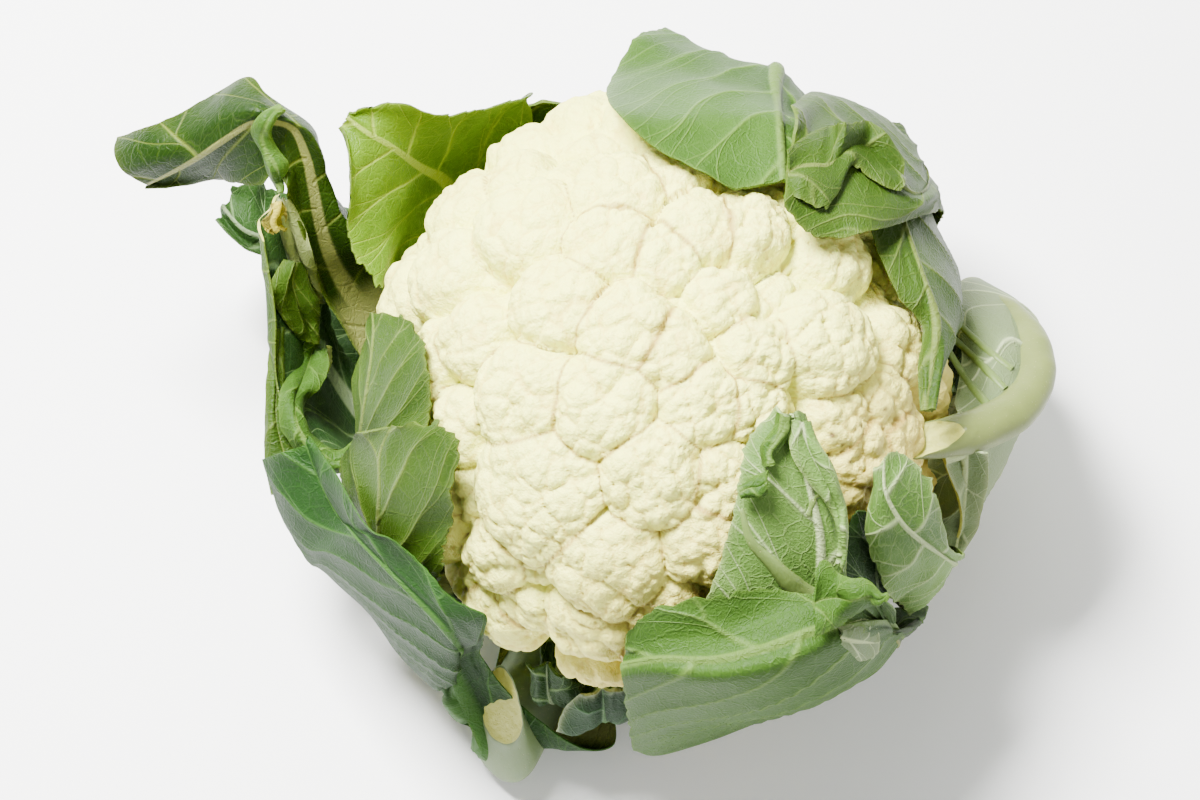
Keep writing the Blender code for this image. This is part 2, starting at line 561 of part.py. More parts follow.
def solid_from_grid(name, inner, outer):
    """A closed leaf between its two faces, split into the same triangles on both."""
    stations, width = inner.shape[:2]
    mesh = bmesh.new()
    top = [[mesh.verts.new(Vector(point) * MM) for point in line] for line in inner]
    low = [[mesh.verts.new(Vector(point) * MM) for point in line] for line in outer]
    for i in range(stations - 1):
        for j in range(width - 1):
            corners = ((i, j), (i, j + 1), (i + 1, j + 1), (i + 1, j))
            for a, b, c in ((0, 1, 2), (0, 2, 3)):
                mesh.faces.new([top[corners[k][0]][corners[k][1]] for k in (a, b, c)])
                mesh.faces.new([low[corners[k][0]][corners[k][1]] for k in (c, b, a)])
    rim = ([(0, j) for j in range(width)] + [(i, width - 1) for i in range(1, stations)]
           + [(stations - 1, j) for j in range(width - 2, -1, -1)] + [(i, 0) for i in range(stations - 2, 0, -1)])
    for index, (i, j) in enumerate(rim):
        k, m = rim[(index + 1) % len(rim)]
        mesh.faces.new((top[k][m], top[i][j], low[i][j]))
        mesh.faces.new((top[k][m], low[i][j], low[k][m]))
    return add_object(name, mesh)


def make_leaf(name, leaf, spaces):
    stations = EXTRA_STATIONS + len(leaf["rows"])
    grid, moved = clear_of(spaces, leaf, base_grid(leaf, stations, SHARE))
    depth = thickness(leaf, grid)
    outer = grid - grid_normals(grid) * depth[..., None]
    outer[..., 2] = np.maximum(outer[..., 2], FLOOR_Z)
    for face in (grid, outer):
        flat = np.hypot(face[0, :, 0], face[0, :, 1])[:, None]
        face[0, :, :2] *= (STALK_RADIUS + GAP) / flat
    spaces[name] = taken_space(leaf, grid)
    print(name, "moved out by", round(moved, 1), "mm at most")
    return solid_from_grid(name, grid, outer)


def make_cut_stem():
    """A stump lofted through the rings of CUT_STEM, flat at the cut."""
    mesh = bmesh.new()
    rings = []
    for top, bottom, half in CUT_STEM:
        middle, reach = (top + bottom) / 2, (top - bottom) / 2
        side = unit(np.cross(reach, polar(1, -118, 0))) * half
        ring = []
        for index in range(RING_POINTS):
            turn = 2 * math.pi * index / RING_POINTS
            narrow = 1 - 0.3 * math.cos(turn)
            point = middle + reach * math.cos(turn) + side * math.sin(turn) * narrow
            ring.append(mesh.verts.new(Vector(point) * MM))
        rings.append(ring)
    for low, high in zip(rings, rings[1:]):
        for index in range(RING_POINTS):
            after = (index + 1) % RING_POINTS
            mesh.faces.new((low[index], low[after], high[after], high[index]))
    mesh.faces.new(reversed(rings[0]))
    mesh.faces.new(rings[-1])
    bmesh.ops.triangulate(mesh, faces=mesh.faces)
    bmesh.ops.recalc_face_normals(mesh, faces=mesh.faces)
    return add_object("cut_stem", mesh)


def fuse(part, extra):
    """Joins the second solid to the first for good."""
    extra.data.materials.append(part.data.materials[0])
    union = part.modifiers.new("union", "BOOLEAN")
    union.operation = "UNION"
    union.solver = "MANIFOLD"
    union.object = extra
    bpy.context.view_layer.objects.active = part
    bpy.ops.object.modifier_apply(modifier=union.name)
    bpy.data.objects.remove(extra)


def add_object(name, mesh):
    data = bpy.data.meshes.new(name)
    mesh.to_mesh(data)
    mesh.free()
    data.shade_smooth()
    part = bpy.data.objects.new(name, data)
    bpy.context.scene.collection.objects.link(part)
    return part


def paint(part, colour, roughness):
    finish = bpy.data.materials.new(part.name)
    finish.use_nodes = True
    shader = finish.node_tree.nodes["Principled BSDF"]
    shader.inputs["Base Color"].default_value = (*colour, 1.0)
    shader.inputs["Roughness"].default_value = roughness
    shader.inputs["Metallic"].default_value = 0.0
    part.data.materials.append(finish)


CREAM = (0.86, 0.78, 0.52)
PALE_STALK = (0.62, 0.66, 0.36)
INNER_GREEN = (0.24, 0.38, 0.07)
OUTER_GREEN = (0.16, 0.27, 0.12)


def build():
    for old in list(bpy.data.objects):
        bpy.data.objects.remove(old)
    florets = floret_directions()
    paint(make_curd(florets), CREAM, 0.6)
    paint(make_stalk(), PALE_STALK, 0.5)
    spaces = {"curd": start_space(florets)}
    for name, leaf in LEAVES.items():
        part = make_leaf(name, leaf, spaces)
        paint(part, INNER_GREEN if "inner" in name else OUTER_GREEN, 0.5)
        if name == "leaf_cut_front":
            fuse(part, make_cut_stem())


build()
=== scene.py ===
import itertools
import math

import bmesh
import bpy
import numpy as np
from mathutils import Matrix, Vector
from mathutils.bvhtree import BVHTree


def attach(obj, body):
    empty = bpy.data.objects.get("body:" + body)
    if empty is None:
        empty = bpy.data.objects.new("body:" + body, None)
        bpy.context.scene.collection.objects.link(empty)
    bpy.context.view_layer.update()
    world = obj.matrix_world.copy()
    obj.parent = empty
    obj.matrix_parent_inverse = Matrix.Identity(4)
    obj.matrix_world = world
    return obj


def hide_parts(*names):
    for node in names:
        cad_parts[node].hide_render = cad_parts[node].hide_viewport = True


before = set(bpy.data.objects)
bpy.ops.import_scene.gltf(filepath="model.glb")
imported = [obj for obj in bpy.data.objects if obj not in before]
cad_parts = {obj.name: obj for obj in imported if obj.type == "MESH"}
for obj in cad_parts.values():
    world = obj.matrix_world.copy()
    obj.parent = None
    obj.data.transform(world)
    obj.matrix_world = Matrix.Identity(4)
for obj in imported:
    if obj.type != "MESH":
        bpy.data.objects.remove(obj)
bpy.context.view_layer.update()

print("frame loaded:", len(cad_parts), "nodes")

mm = 0.001                                # leaf and curd points are worked out in millimetres

# the slanting sight line that every point of the head is read along, as in the part
view = {
    "target": np.array((0.0, 0.0, 78.0)),
    "slope": math.radians(65.0),
    "distance": 900.0,
    "frameWidth": 360.0,                  # millimetres across the frame at the target
    "imageSize": (1200, 800),
    "targetPixel": (645, 395),
}
sightUp = np.array((0.0, math.sin(view["slope"]), math.cos(view["slope"])))
sightBack = np.array((0.0, -math.cos(view["slope"]), math.sin(view["slope"])))
eye = view["target"] + view["distance"] * sightBack


def placeCamera():
    lens = bpy.data.cameras.new("camera")
    lens.sensor_width = 36.0
    lens.lens = lens.sensor_width * view["distance"] / view["frameWidth"]
    width, height = view["imageSize"]
    column, row = view["targetPixel"]
    lens.shift_x = (width / 2 - column) / width
    lens.shift_y = (row - height / 2) / width
    camera = bpy.data.objects.new("camera", lens)
    camera.location = Vector(eye) * mm
    camera.rotation_euler = (Vector(view["target"] - eye)).to_track_quat("-Z", "Y").to_euler()
    bpy.context.scene.collection.objects.link(camera)
    bpy.context.scene.camera = camera


placeCamera()
print("camera placed")


def linearColour(code):
    # sRGB hex to the linear values the shaders take
    channels = [int(code[i:i + 2], 16) / 255 for i in (1, 3, 5)]
    return tuple(c / 12.92 if c <= 0.04045 else ((c + 0.055) / 1.055) ** 2.4 for c in channels) + (1.0,)


smooth = {"interpolation_type": "SMOOTHSTEP"}


def addNode(tree, kind, settings=None, links=None):
    # settings name the node's own properties or its sockets; links bring other nodes' outputs to its sockets
    node = tree.nodes.new("ShaderNode" + kind)
    for key, value in (settings or {}).items():
        if isinstance(key, str) and hasattr(node, key):
            setattr(node, key, value)
        else:
            node.inputs[key].default_value = value
    for key, socket in (links or {}).items():
        tree.links.new(socket, node.inputs[key])
    return node


def newFinish(name):
    finish = bpy.data.materials.new(name)
    finish.use_nodes = True
    return finish, finish.node_tree, finish.node_tree.nodes["Principled BSDF"]


def layered(tree, base, layers):
    # each colour lies over the ones before it, as strongly as its socket says
    under = {}
    for colour, share in layers:
        mix = addNode(tree, "Mix", {"data_type": "RGBA", 6: linearColour(base), 7: linearColour(colour)},
                      {0: share, **under})
        under = {6: mix.outputs[2]}
    return mix.outputs[2]


def setShader(tree, shader, values, links):
    for name, value in values.items():
        shader.inputs[name].default_value = value
    for name, socket in links.items():
        tree.links.new(socket, shader.inputs[name])


def meshData(name, mesh, sharpAngle=None):
    data = bpy.data.meshes.new(name)
    mesh.to_mesh(data)
    mesh.free()
    data.shade_smooth()
    if sharpAngle:
        data.set_sharp_from_angle(angle=math.radians(sharpAngle))
    return data


def tubeMesh(rings, cutFrom=math.inf):
    # closed tube through rings of points; from this ring on it takes its second finish
    mesh = bmesh.new()
    rows = [[mesh.verts.new(Vector(point) * mm) for point in ring] for ring in rings]
    for number, (low, high) in enumerate(zip(rows, rows[1:])):
        for index in range(len(low)):
            after = (index + 1) % len(low)
            quad = mesh.faces.new((low[index], low[after], high[after], high[index]))
            quad.material_index = 1 if number >= cutFrom else 0
    return mesh, mesh.faces.new(rows[0][::-1]), mesh.faces.new(rows[-1])


def addPiece(name, node, data, finishes):
    for finish in finishes:
        data.materials.append(finish)
    piece = bpy.data.objects.new(name, data)
    bpy.context.scene.collection.objects.link(piece)
    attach(piece, "root")
    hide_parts(node)
    return piece


def unit(vectors):
    return vectors / np.maximum(np.linalg.norm(vectors, axis=-1, keepdims=True), 1e-9)


def scattered(cells, seed):
    # a steady random value between -1 and 1 for each whole-numbered cell
    mixed = sum(cells[..., k] * step for k, step in zip(range(cells.shape[-1]), (127.1, 311.7, 74.7)))
    return np.modf(np.sin(mixed + seed) * 43758.5453)[0]


def softNoise(points, size, seed):
    # smooth random heights between -1 and 1 that change over about this size
    place = points / size
    low = np.floor(place)
    part = place - low
    part = part * part * (3 - 2 * part)
    total = 0.0
    for corner in itertools.product((0, 1), repeat=points.shape[-1]):
        weight = np.prod(np.where(corner, part, 1 - part), axis=-1)
        total = total + weight * scattered(low + corner, seed)
    return total


def smoothStep(values, low, high):
    t = np.clip((values - low) / (high - low), 0, 1)
    return t * t * (3 - 2 * t)


def cellDomes(points, size, seed):
    # rounded cells about this size: 0 in the creases between them, 1 on their crowns
    place = points / size
    low = np.floor(place)
    nearest = np.full(len(points), 9.0)
    second = np.full(len(points), 9.0)
    for corner in itertools.product((-1, 0, 1), repeat=3):
        cell = low + corner
        jitter = np.stack([scattered(cell, seed + k) for k in (1, 2, 3)], axis=1)
        distance = np.linalg.norm(place - cell - 0.5 - 0.42 * jitter, axis=1)
        second = np.minimum(second, np.maximum(nearest, distance))
        nearest = np.minimum(nearest, distance)
    rise = np.clip((second - nearest) / 0.6, 0, 1)
    return np.sqrt(1 - (1 - rise) ** 2)


# Curd: cream heads of florets grown together

curd = {
    "centre": np.array((4.0, 2.0, 78.0)),
    "half": (79.5, 86.5, 68.0), "drop": 41.0, "footZ": 44.3,
    "floretTop": 8.0, "floretSink": 5.0, "lobeRise": 0.95, "lobeSpread": 1.12, "largestLobe": 15.0,
    "knobs": 8, "knobRise": 2.6,          # as in the part
    "headDepth": 0.6,                     # where in a floret's height its centre is read
    "search": (-130.0, 60.0, 0.5),        # from, to and step of the search for the dome along the sight line
    "fade": (-0.75, 0.45),                # where the relief starts above the foot, and how soon it is whole
    "cells": ((17.0, 6.5), (8.2, 1.5), (4.1, 0.75)),     # size and rise of the finer knobs, only in the looks
    "cellMiddle": 0.7, "creaseReach": 1.4, "gapStands": 12.0,
    "sway": 0.011, "ball": 90.0,          # how far the florets' outlines wander, on a ball of this radius
    "fill": 84, "fillRadius": 13.0, "fillLowest": -0.55, "fillApart": (0.75, 0.35),
    "cuts": 125, "lean": 0.5,             # mesh fineness, and how much finer it is on the seen side
    "florets": (                          # (across, up, radius) of each floret on the dome
        (-9, 62, 15), (-37, 52, 17), (-19, 88, 14), (-43, 82, 12), (-58, 62, 11), (5, 43, 12), (17, 52, 13),
        (-27, 28, 15), (-61, 38, 15), (-53, 18, 13), (-37, 0, 16), (-6, 20, 15), (-13, -3, 16), (6, 14, 13),
        (-32, -29, 21), (2, -24, 16), (24, 30, 11), (32, 52, 13), (59, 43, 13), (56, 16, 16), (78, 15, 13),
        (74, -2, 12), (35, 13, 12), (17, -3, 13), (33, -4, 11), (61, -7, 11), (68, -18, 12), (23, -27, 13),
        (18, -44, 14), (-12, -51, 18), (-47, -50, 12), (-53, -60, 8), (-38, -66, 10), (-17, -71, 14),
        (-33, -53, 8), (8, 68, 12), (0, 90, 13), (-41, 68, 11), (-66, 48, 9), (-66, 12, 11), (-59, -10, 12),
        (-57, -30, 9), (66, -30, 9), (48, 62, 12), (47, -30, 13), (5, -66, 12), (41, -52, 13)),
    "yellowedShadedSide": (0.62, -0.62, -0.48),     # the side that has yellowed more and is turned from the key light: partly real yellowing, partly painted shade
    # the warm cream is partly real yellowing and partly painted shade on the side turned from the light
    "cream": "#ebf07e", "creamWarmAndShade": "#dccb62", "creamCreaseShade": "#cdb046",
    # the crease colour and the deep cream are painted shade in the creases
    "creaseShade": "#94732c", "speck": "#57401f",
    "specks": ((56, -12, 0.9), (59, -15, 0.7), (61, -20, 0.6), (64, -9, 0.7), (70, -4, 0.6), (-33, 82, 0.7),
               (57, -19, 1.1), (63, -26, 0.6)),      # (across, up, radius) of small brown marks
}
headCentre = curd["centre"]


def aimAt(across, up):
    return view["target"] + across * np.array((1.0, 0.0, 0.0)) + up * sightUp


def at(across, up, height):
    aim = aimAt(across, up)
    along = (eye[2] - height) / (eye[2] - aim[2])
    return eye + along * (aim - eye)


def coreRadius(directions):
    rise = np.where(directions[..., 2:3] >= 0, curd["half"][2], curd["drop"])
    level = np.ones_like(rise)
    axes = np.concatenate((level * curd["half"][0], level * curd["half"][1], rise), axis=-1)
    return 1.0 / np.linalg.norm(directions / axes, axis=-1)


def meetDome(across, up, lift):
    ray = unit(aimAt(across, up) - eye)
    first, last, step = curd["search"]
    steps = np.arange(view["distance"] + first, view["distance"] + last, step)
    offsets = eye + ray * steps[:, None] - headCentre
    excess = np.linalg.norm(offsets, axis=1) - coreRadius(unit(offsets)) - lift
    inside = np.nonzero(excess < 0)[0]
    offset = offsets[inside[0] if len(inside) else excess.argmin()]
    direction = unit(offset)
    return headCentre + direction * (coreRadius(direction) + lift)


def floretDirections():
    found = []
    for across, up, radius in curd["florets"]:
        offset = meetDome(across, up, curd["floretTop"] * curd["headDepth"]) - headCentre
        found.append((unit(offset), radius / np.linalg.norm(offset)))
    golden = math.pi * (3 - math.sqrt(5))
    overlap, room = curd["fillApart"]
    for index in range(curd["fill"]):
        rise = 1 - 2 * (index + 0.5) / curd["fill"]
        if rise < curd["fillLowest"]:
            continue
        flat = math.sqrt(1 - rise * rise)
        direction = np.array((flat * math.cos(index * golden), flat * math.sin(index * golden), rise))
        size = curd["fillRadius"] / coreRadius(direction)
        near = min(math.acos(min(1.0, float(direction @ other))) - overlap * reach for other, reach in found)
        if near > room * size:
            found.append((direction, size))
    return found


def floretRelief(directions, florets):
    # height of the florets' heads, whose it is, and how far it stands over its neighbour's
    best = np.zeros(len(directions))
    second = np.zeros(len(directions))
    owner = np.full(len(directions), -1)
    for index, (axis, reach) in enumerate(florets):
        angle = np.arccos(np.clip(directions @ axis, -1, 1)) / (reach * curd["lobeSpread"])
        near = angle < 1
        size = min(reach * coreRadius(axis), curd["largestLobe"])
        height = np.zeros(len(directions))
        height[near] = size * curd["lobeRise"] * (1 - angle[near] ** 2.4) ** 0.5
        second = np.maximum(second, np.minimum(best, height))
        better = height > best
        best[better] = height[better]
        owner[better] = index
    return best, owner, best - second


def knobRelief(directions, florets, owner):
    # knobs in a sunflower spiral on each floret
    height = np.zeros(len(directions))
    golden = math.pi * (3 - math.sqrt(5))
    for index, (axis, reach) in enumerate(florets):
        mine = np.nonzero(owner == index)[0]
        if not len(mine):
            continue
        side = unit(np.cross(axis, (0.3, 0.2, 0.9)))
        across = np.cross(axis, side)
        place = np.stack((directions[mine] @ side, directions[mine] @ across), axis=1)
        place /= reach * curd["lobeSpread"]
        number = np.arange(curd["knobs"]) + 0.5
        spiral = (number / curd["knobs"]) ** 0.42
        turn = number * golden + index
        centres = np.stack((spiral * np.cos(turn), spiral * np.sin(turn)), axis=1)
        distance = np.linalg.norm(place[:, None, :] - centres[None, :, :], axis=2).min(axis=1)
        spacing = 1.25 / math.sqrt(curd["knobs"])
        rim = np.linalg.norm(place, axis=1)
        domes = np.sqrt(np.clip(1 - (distance / spacing) ** 2, 0, 1))
        height[mine] = curd["knobRise"] * (0.55 + 0.6 * rim) * domes
    return height


def reliefShare(directions):
    start, span = curd["fade"]
    return np.clip((directions[:, 2] - start) / span, 0, 1)


def curdRadius(directions, florets):
    relief, owner, stands = floretRelief(directions, florets)
    relief = relief + knobRelief(directions, florets, owner)
    radius = coreRadius(directions) + relief * reliefShare(directions) - curd["floretSink"]
    return underCut(directions, radius), stands


def underCut(directions, radius):
    # the curd's flat foot on the stalk
    floor = (headCentre[2] - curd["footZ"]) / np.maximum(-directions[:, 2], 1e-6)
    return np.where(directions[:, 2] < 0, np.minimum(radius, floor), radius)


def paintPoints(data, name, values):
    layer = data.color_attributes.new(name, "FLOAT_COLOR", "POINT")
    layer.data.foreach_set("color", np.asarray(values, dtype=np.float32).ravel())


def curdFinish():
    # fresh curd: dense, damp tissue, cream, with painted shade in its creases and on the side turned from the
    # light, where it has also yellowed; light sinks in a little and comes back warm
    finish, tree, shader = newFinish("curdCream")
    relief = addNode(tree, "Attribute", {"attribute_name": "relief"})
    parts = addNode(tree, "SeparateColor", links={0: relief.outputs["Color"]})
    place = addNode(tree, "TexCoord").outputs["Object"]
    broad = addNode(tree, "TexNoise", {"Scale": 1 / 0.03, "Detail": 3.0}, {"Vector": place})
    yellowingAndShade = addNode(tree, "Attribute", {"attribute_name": "yellowingAndShade"})
    warmthAndShade = addNode(tree, "Math", {"operation": "MULTIPLY_ADD", 1: 0.35, "use_clamp": True},
                   {0: broad.outputs["Fac"], 2: yellowingAndShade.outputs["Fac"]})
    # warmth that varies by chance, plus the side turned from the key light, where real yellowing and painted
    # shade lie
    layers = [(curd["creamWarmAndShade"], warmthAndShade.outputs["Value"])]
    creaseShades = (("creamCreaseShade", 0.4, 0.35, relief.outputs["Alpha"]),    # painted shade between the beads
               ("creamCreaseShade", 0.35, 0.6, parts.outputs["Green"]),     # painted shade between the knobs
               ("creaseShade", 0.3, 0.85, parts.outputs["Red"]))          # painted shade between the florets
    for colour, start, most, depth in creaseShades:
        share = addNode(tree, "MapRange", {**smooth, "From Min": start, "From Max": 1.0, "To Max": most},
                        {"Value": depth})
        layers.append((curd[colour], share.outputs["Result"]))
    layers.append((curd["speck"], parts.outputs["Blue"]))
    # beads about 1.9 mm across, as fine as the curd's grain shows
    grain = addNode(tree, "TexVoronoi", {"feature": "SMOOTH_F1", "Scale": 1 / 0.0019, "Smoothness": 0.35},
                    {"Vector": place})
    dust = addNode(tree, "TexNoise", {"Scale": 1 / 0.0007, "Detail": 2.0}, {"Vector": place})
    beads = addNode(tree, "Math", {"operation": "MULTIPLY_ADD", 1: -1.0},
                    {0: grain.outputs["Distance"], 2: dust.outputs["Fac"]})
    bump = addNode(tree, "Bump", {"Strength": 0.6, "Distance": 0.0007}, {"Height": beads.outputs["Value"]})
    rough = addNode(tree, "MapRange", {"To Min": 0.5, "To Max": 0.68}, {"Value": dust.outputs["Fac"]})
    setShader(tree, shader,
              {"IOR": 1.4, "Subsurface Weight": 0.18, "Subsurface Radius": (1.0, 0.7, 0.35),
               "Subsurface Scale": 0.0018},
              {"Base Color": layered(tree, curd["cream"], layers), "Normal": bump.outputs["Normal"],
               "Roughness": rough.outputs["Result"]})
    return finish


def makeCurd(florets):
    # a cube blown up to a ball, so its faces are even, then drawn out to the curd's reach in each direction
    mesh = bmesh.new()
    bmesh.ops.create_cube(mesh, size=2.0)
    bmesh.ops.subdivide_edges(mesh, edges=mesh.edges, cuts=curd["cuts"], use_grid_fill=True)
    cube = np.array([vertex.co for vertex in mesh.verts])
    directions = unit(unit(np.tan(cube * math.pi / 4)) + curd["lean"] * sightBack)
    sway = np.stack([softNoise(directions * curd["ball"], 9.0, seed) for seed in (1, 2, 3)], axis=1)
    radius, stands = curdRadius(unit(directions + curd["sway"] * sway), florets)
    fade = reliefShare(directions)
    (gapSize, gapRise), (knobSize, knobRise), (beadSize, beadRise) = curd["cells"]
    low = coreRadius(directions) - curd["floretSink"]
    fill = cellDomes(directions * low[:, None], gapSize, 11)
    filled = low + fill * gapRise * fade
    stands = np.where(filled > radius, curd["gapStands"] * fill, stands)
    radius = np.maximum(radius, filled)
    knob = cellDomes(directions * radius[:, None], knobSize, 21)
    bead = cellDomes(directions * radius[:, None], beadSize, 31)
    middle = curd["cellMiddle"]
    radius = radius + (knobRise * (knob - middle) + beadRise * (bead - middle)) * fade
    points = headCentre + directions * underCut(directions, radius)[:, None]
    for vertex, point in zip(mesh.verts, points):
        vertex.co = Vector(point) * mm
    bmesh.ops.recalc_face_normals(mesh, faces=mesh.faces)
    data = meshData("curdFlorets", mesh)
    speck = np.zeros(len(points))
    for across, up, size in curd["specks"]:
        spot = unit(meetDome(across, up, curd["floretTop"] * curd["headDepth"]) - headCentre)
        far = np.arccos(np.clip(directions @ spot, -1, 1)) * curd["ball"]
        speck = np.maximum(speck, np.clip(1.6 - far / size, 0, 1))
    # the side turned from the key light: real yellowing, and painted shade
    warmthAndShade = smoothStep(directions @ unit(np.array(curd["yellowedShadedSide"])), 0.05, 0.85)
    # painted shade in the creases between florets, fading as a floret stands higher over its neighbour
    creaseShade = np.exp(-stands / curd["creaseReach"])
    paintPoints(data, "yellowingAndShade", np.stack((warmthAndShade, warmthAndShade, warmthAndShade, np.ones_like(warmthAndShade)), axis=1))
    # painted shade between florets, knobs and beads, and the real brown specks
    paintPoints(data, "relief", np.stack((creaseShade, 1 - knob, speck, 1 - bead), axis=1))
    addPiece("curdFlorets", "curd", data, (curdFinish(),))


florets = floretDirections()
makeCurd(florets)
print("curd made")


# Stalk: the thick stem under the curd, cut when it was picked

stalk = {
    "radius": 27.0, "topZ": 44.0, "sides": 120, "ribs": 5,
    "profile": (                          # height, and the part of the radius there
        (0.0, 0.93), (2.0, 0.985), (9.0, 1.0), (20.0, 0.975), (32.0, 0.99), (42.0, 1.0), (44.0, 0.97)),
    "levels": 60, "grain": 0.25,
}


def polar(radius, azimuth, height):
    turn = math.radians(azimuth)
    return np.array((radius * math.cos(turn), radius * math.sin(turn), height))


def fleshFinish(name, skin, flesh, across, along):
    # cut stem tissue: wet pith in strands, with small tan pores
    finish, tree, shader = newFinish(name)
    place = addNode(tree, "TexCoord").outputs["Object"]
    strands = addNode(tree, "Mapping", {"Scale": (1 / across, 1 / across, 1 / along)}, {"Vector": place})
    fibre = addNode(tree, "TexNoise", {"Scale": 1.0, "Detail": 4.0, "Roughness": 0.6},
                    {"Vector": strands.outputs["Vector"]})
    pores = addNode(tree, "TexVoronoi", {"Scale": 1 / 0.0016}, {"Vector": place})
    pit = addNode(tree, "MapRange", {"From Min": 0.16, "From Max": 0.0, "To Max": 0.5},
                  {"Value": pores.outputs["Distance"]})
    height = addNode(tree, "Math", {"operation": "SUBTRACT"},
                     {0: fibre.outputs["Fac"], 1: pit.outputs["Result"]})
    bump = addNode(tree, "Bump", {"Strength": 0.6, "Distance": 0.0008}, {"Height": height.outputs["Value"]})
    colour = layered(tree, skin, ((flesh, fibre.outputs["Fac"]), ("#a79b62", pit.outputs["Result"])))
    setShader(tree, shader,
              {"Roughness": 0.48, "IOR": 1.4, "Subsurface Weight": 0.2,
               "Subsurface Radius": (1.0, 0.8, 0.4), "Subsurface Scale": 0.002},
              {"Base Color": colour, "Normal": bump.outputs["Normal"]})
    return finish


cutFlesh = fleshFinish("cutStemFlesh", "#a19e3c", "#bfc365", 0.0016, 0.0016)
stalkSkin = fleshFinish("stalkSkin", "#a9b57c", "#cfd3a2", 0.004, 0.02)


def makeStalk():
    heights, factors = zip(*stalk["profile"])
    turns = 2 * math.pi * np.arange(stalk["sides"]) / stalk["sides"]
    rings = []
    for level in np.linspace(0, stalk["topZ"], stalk["levels"]):
        radius = stalk["radius"] * np.interp(level, heights, factors)
        radius = radius * (1 - 0.02 * (1 + np.cos(stalk["ribs"] * turns + 0.06 * level)))
        around = np.stack((np.cos(turns) * 27, np.sin(turns) * 27, np.full_like(turns, level * 0.35)), axis=1)
        radius = radius - stalk["grain"] * (1 + softNoise(around, 3.0, 5))
        ring = (radius * np.cos(turns), radius * np.sin(turns), np.full_like(turns, level))
        rings.append(np.stack(ring, axis=1))
    mesh, foot, top = tubeMesh(rings)
    foot.material_index = top.material_index = 1
    addPiece("stalkStem", "stalk", meshData("stalkStem", mesh, 50), (stalkSkin, cutFlesh))


makeStalk()
print("stalk made")


# Leaves: each is one sheet from its stem on the stalk to its tip

leafRules = {
    "blade": 1.0, "rimBlade": 0.45,       # thickness by the rib and at the margin
    "gap": 0.5, "spread": 0.9, "floorZ": 2.0, "curlStart": 0.62,
    "share": 4, "extraStations": 9, "stemBend": (56.0, 3.0, 1.25),
    "ribColumns": 7, "cell": math.radians(2.0), "around": 180, "rises": 90,
    "stalkRoom": 50.0,                    # leaves are left as they are this near the middle line
}


def on(across, up, lift):
    return meetDome(across, up, curd["floretTop"] + lift)


def bent(radius, azimuth, height, spread=26.0):
    return (polar(radius, azimuth, height), polar(radius, azimuth + spread, height),
            polar(radius, azimuth - spread, height))


def spline(points, places):
    points = np.asarray(points, dtype=float)
    steps = np.linalg.norm(np.diff(points[:, :3], axis=0), axis=1)
    knots = np.concatenate(((0.0,), np.cumsum(steps)))
    knots /= knots[-1]
    slopes = np.gradient(points, knots, axis=0)
    index = np.clip(np.searchsorted(knots, places, side="right") - 1, 0, len(knots) - 2)
    span = (knots[index + 1] - knots[index])[:, None]
    t = (np.asarray(places)[:, None] - knots[index][:, None]) / span
    start, end = points[index], points[index + 1]
    easeIn, easeOut = slopes[index] * span, slopes[index + 1] * span
    return ((2 * t**3 - 3 * t**2 + 1) * start + (t**3 - 2 * t**2 + t) * easeIn
            + (3 * t**2 - 2 * t**3) * end + (t**3 - t**2) * easeOut)


def stemRows(leaf):
    azimuth, height = leaf["root"]
    rows = []
    firstRow = (stalk["radius"] + leafRules["gap"], 0.0, 1.0)
    for radius, rise, widen in (firstRow, leafRules["stemBend"]):
        lean = math.degrees(math.asin(leaf["stem"][0] * widen / radius))
        rows.append(np.concatenate((polar(radius, azimuth, height + rise),
                                    polar(radius, azimuth + lean, height + rise + 1.0),
                                    polar(radius, azimuth - lean, height + rise + 1.0))))
    return rows


def leafRows(leaf):
    rows = stemRows(leaf) if "root" in leaf else []
    return np.array(rows + [np.concatenate(row) for row in leaf["rows"]])


def sideCurve(rib, edge, outward, bulge, curl, fractions):
    reach = edge - rib
    points = [rib + reach * part + outward * bulge * 4 * part * (1 - part) for part in fractions]
    start = leafRules["curlStart"]
    if curl:
        along = unit(reach)
        bend = np.linalg.norm(reach) * (1 - start) / math.radians(curl)
        origin = rib + reach * start + outward * bulge * 4 * start * (1 - start)
        for index, part in enumerate(fractions):
            if part > start:
                turn = math.radians(curl) * (part - start) / (1 - start)
                points[index] = (origin + along * bend * math.sin(turn)
                                 - outward * bend * (1 - math.cos(turn)))
    return points


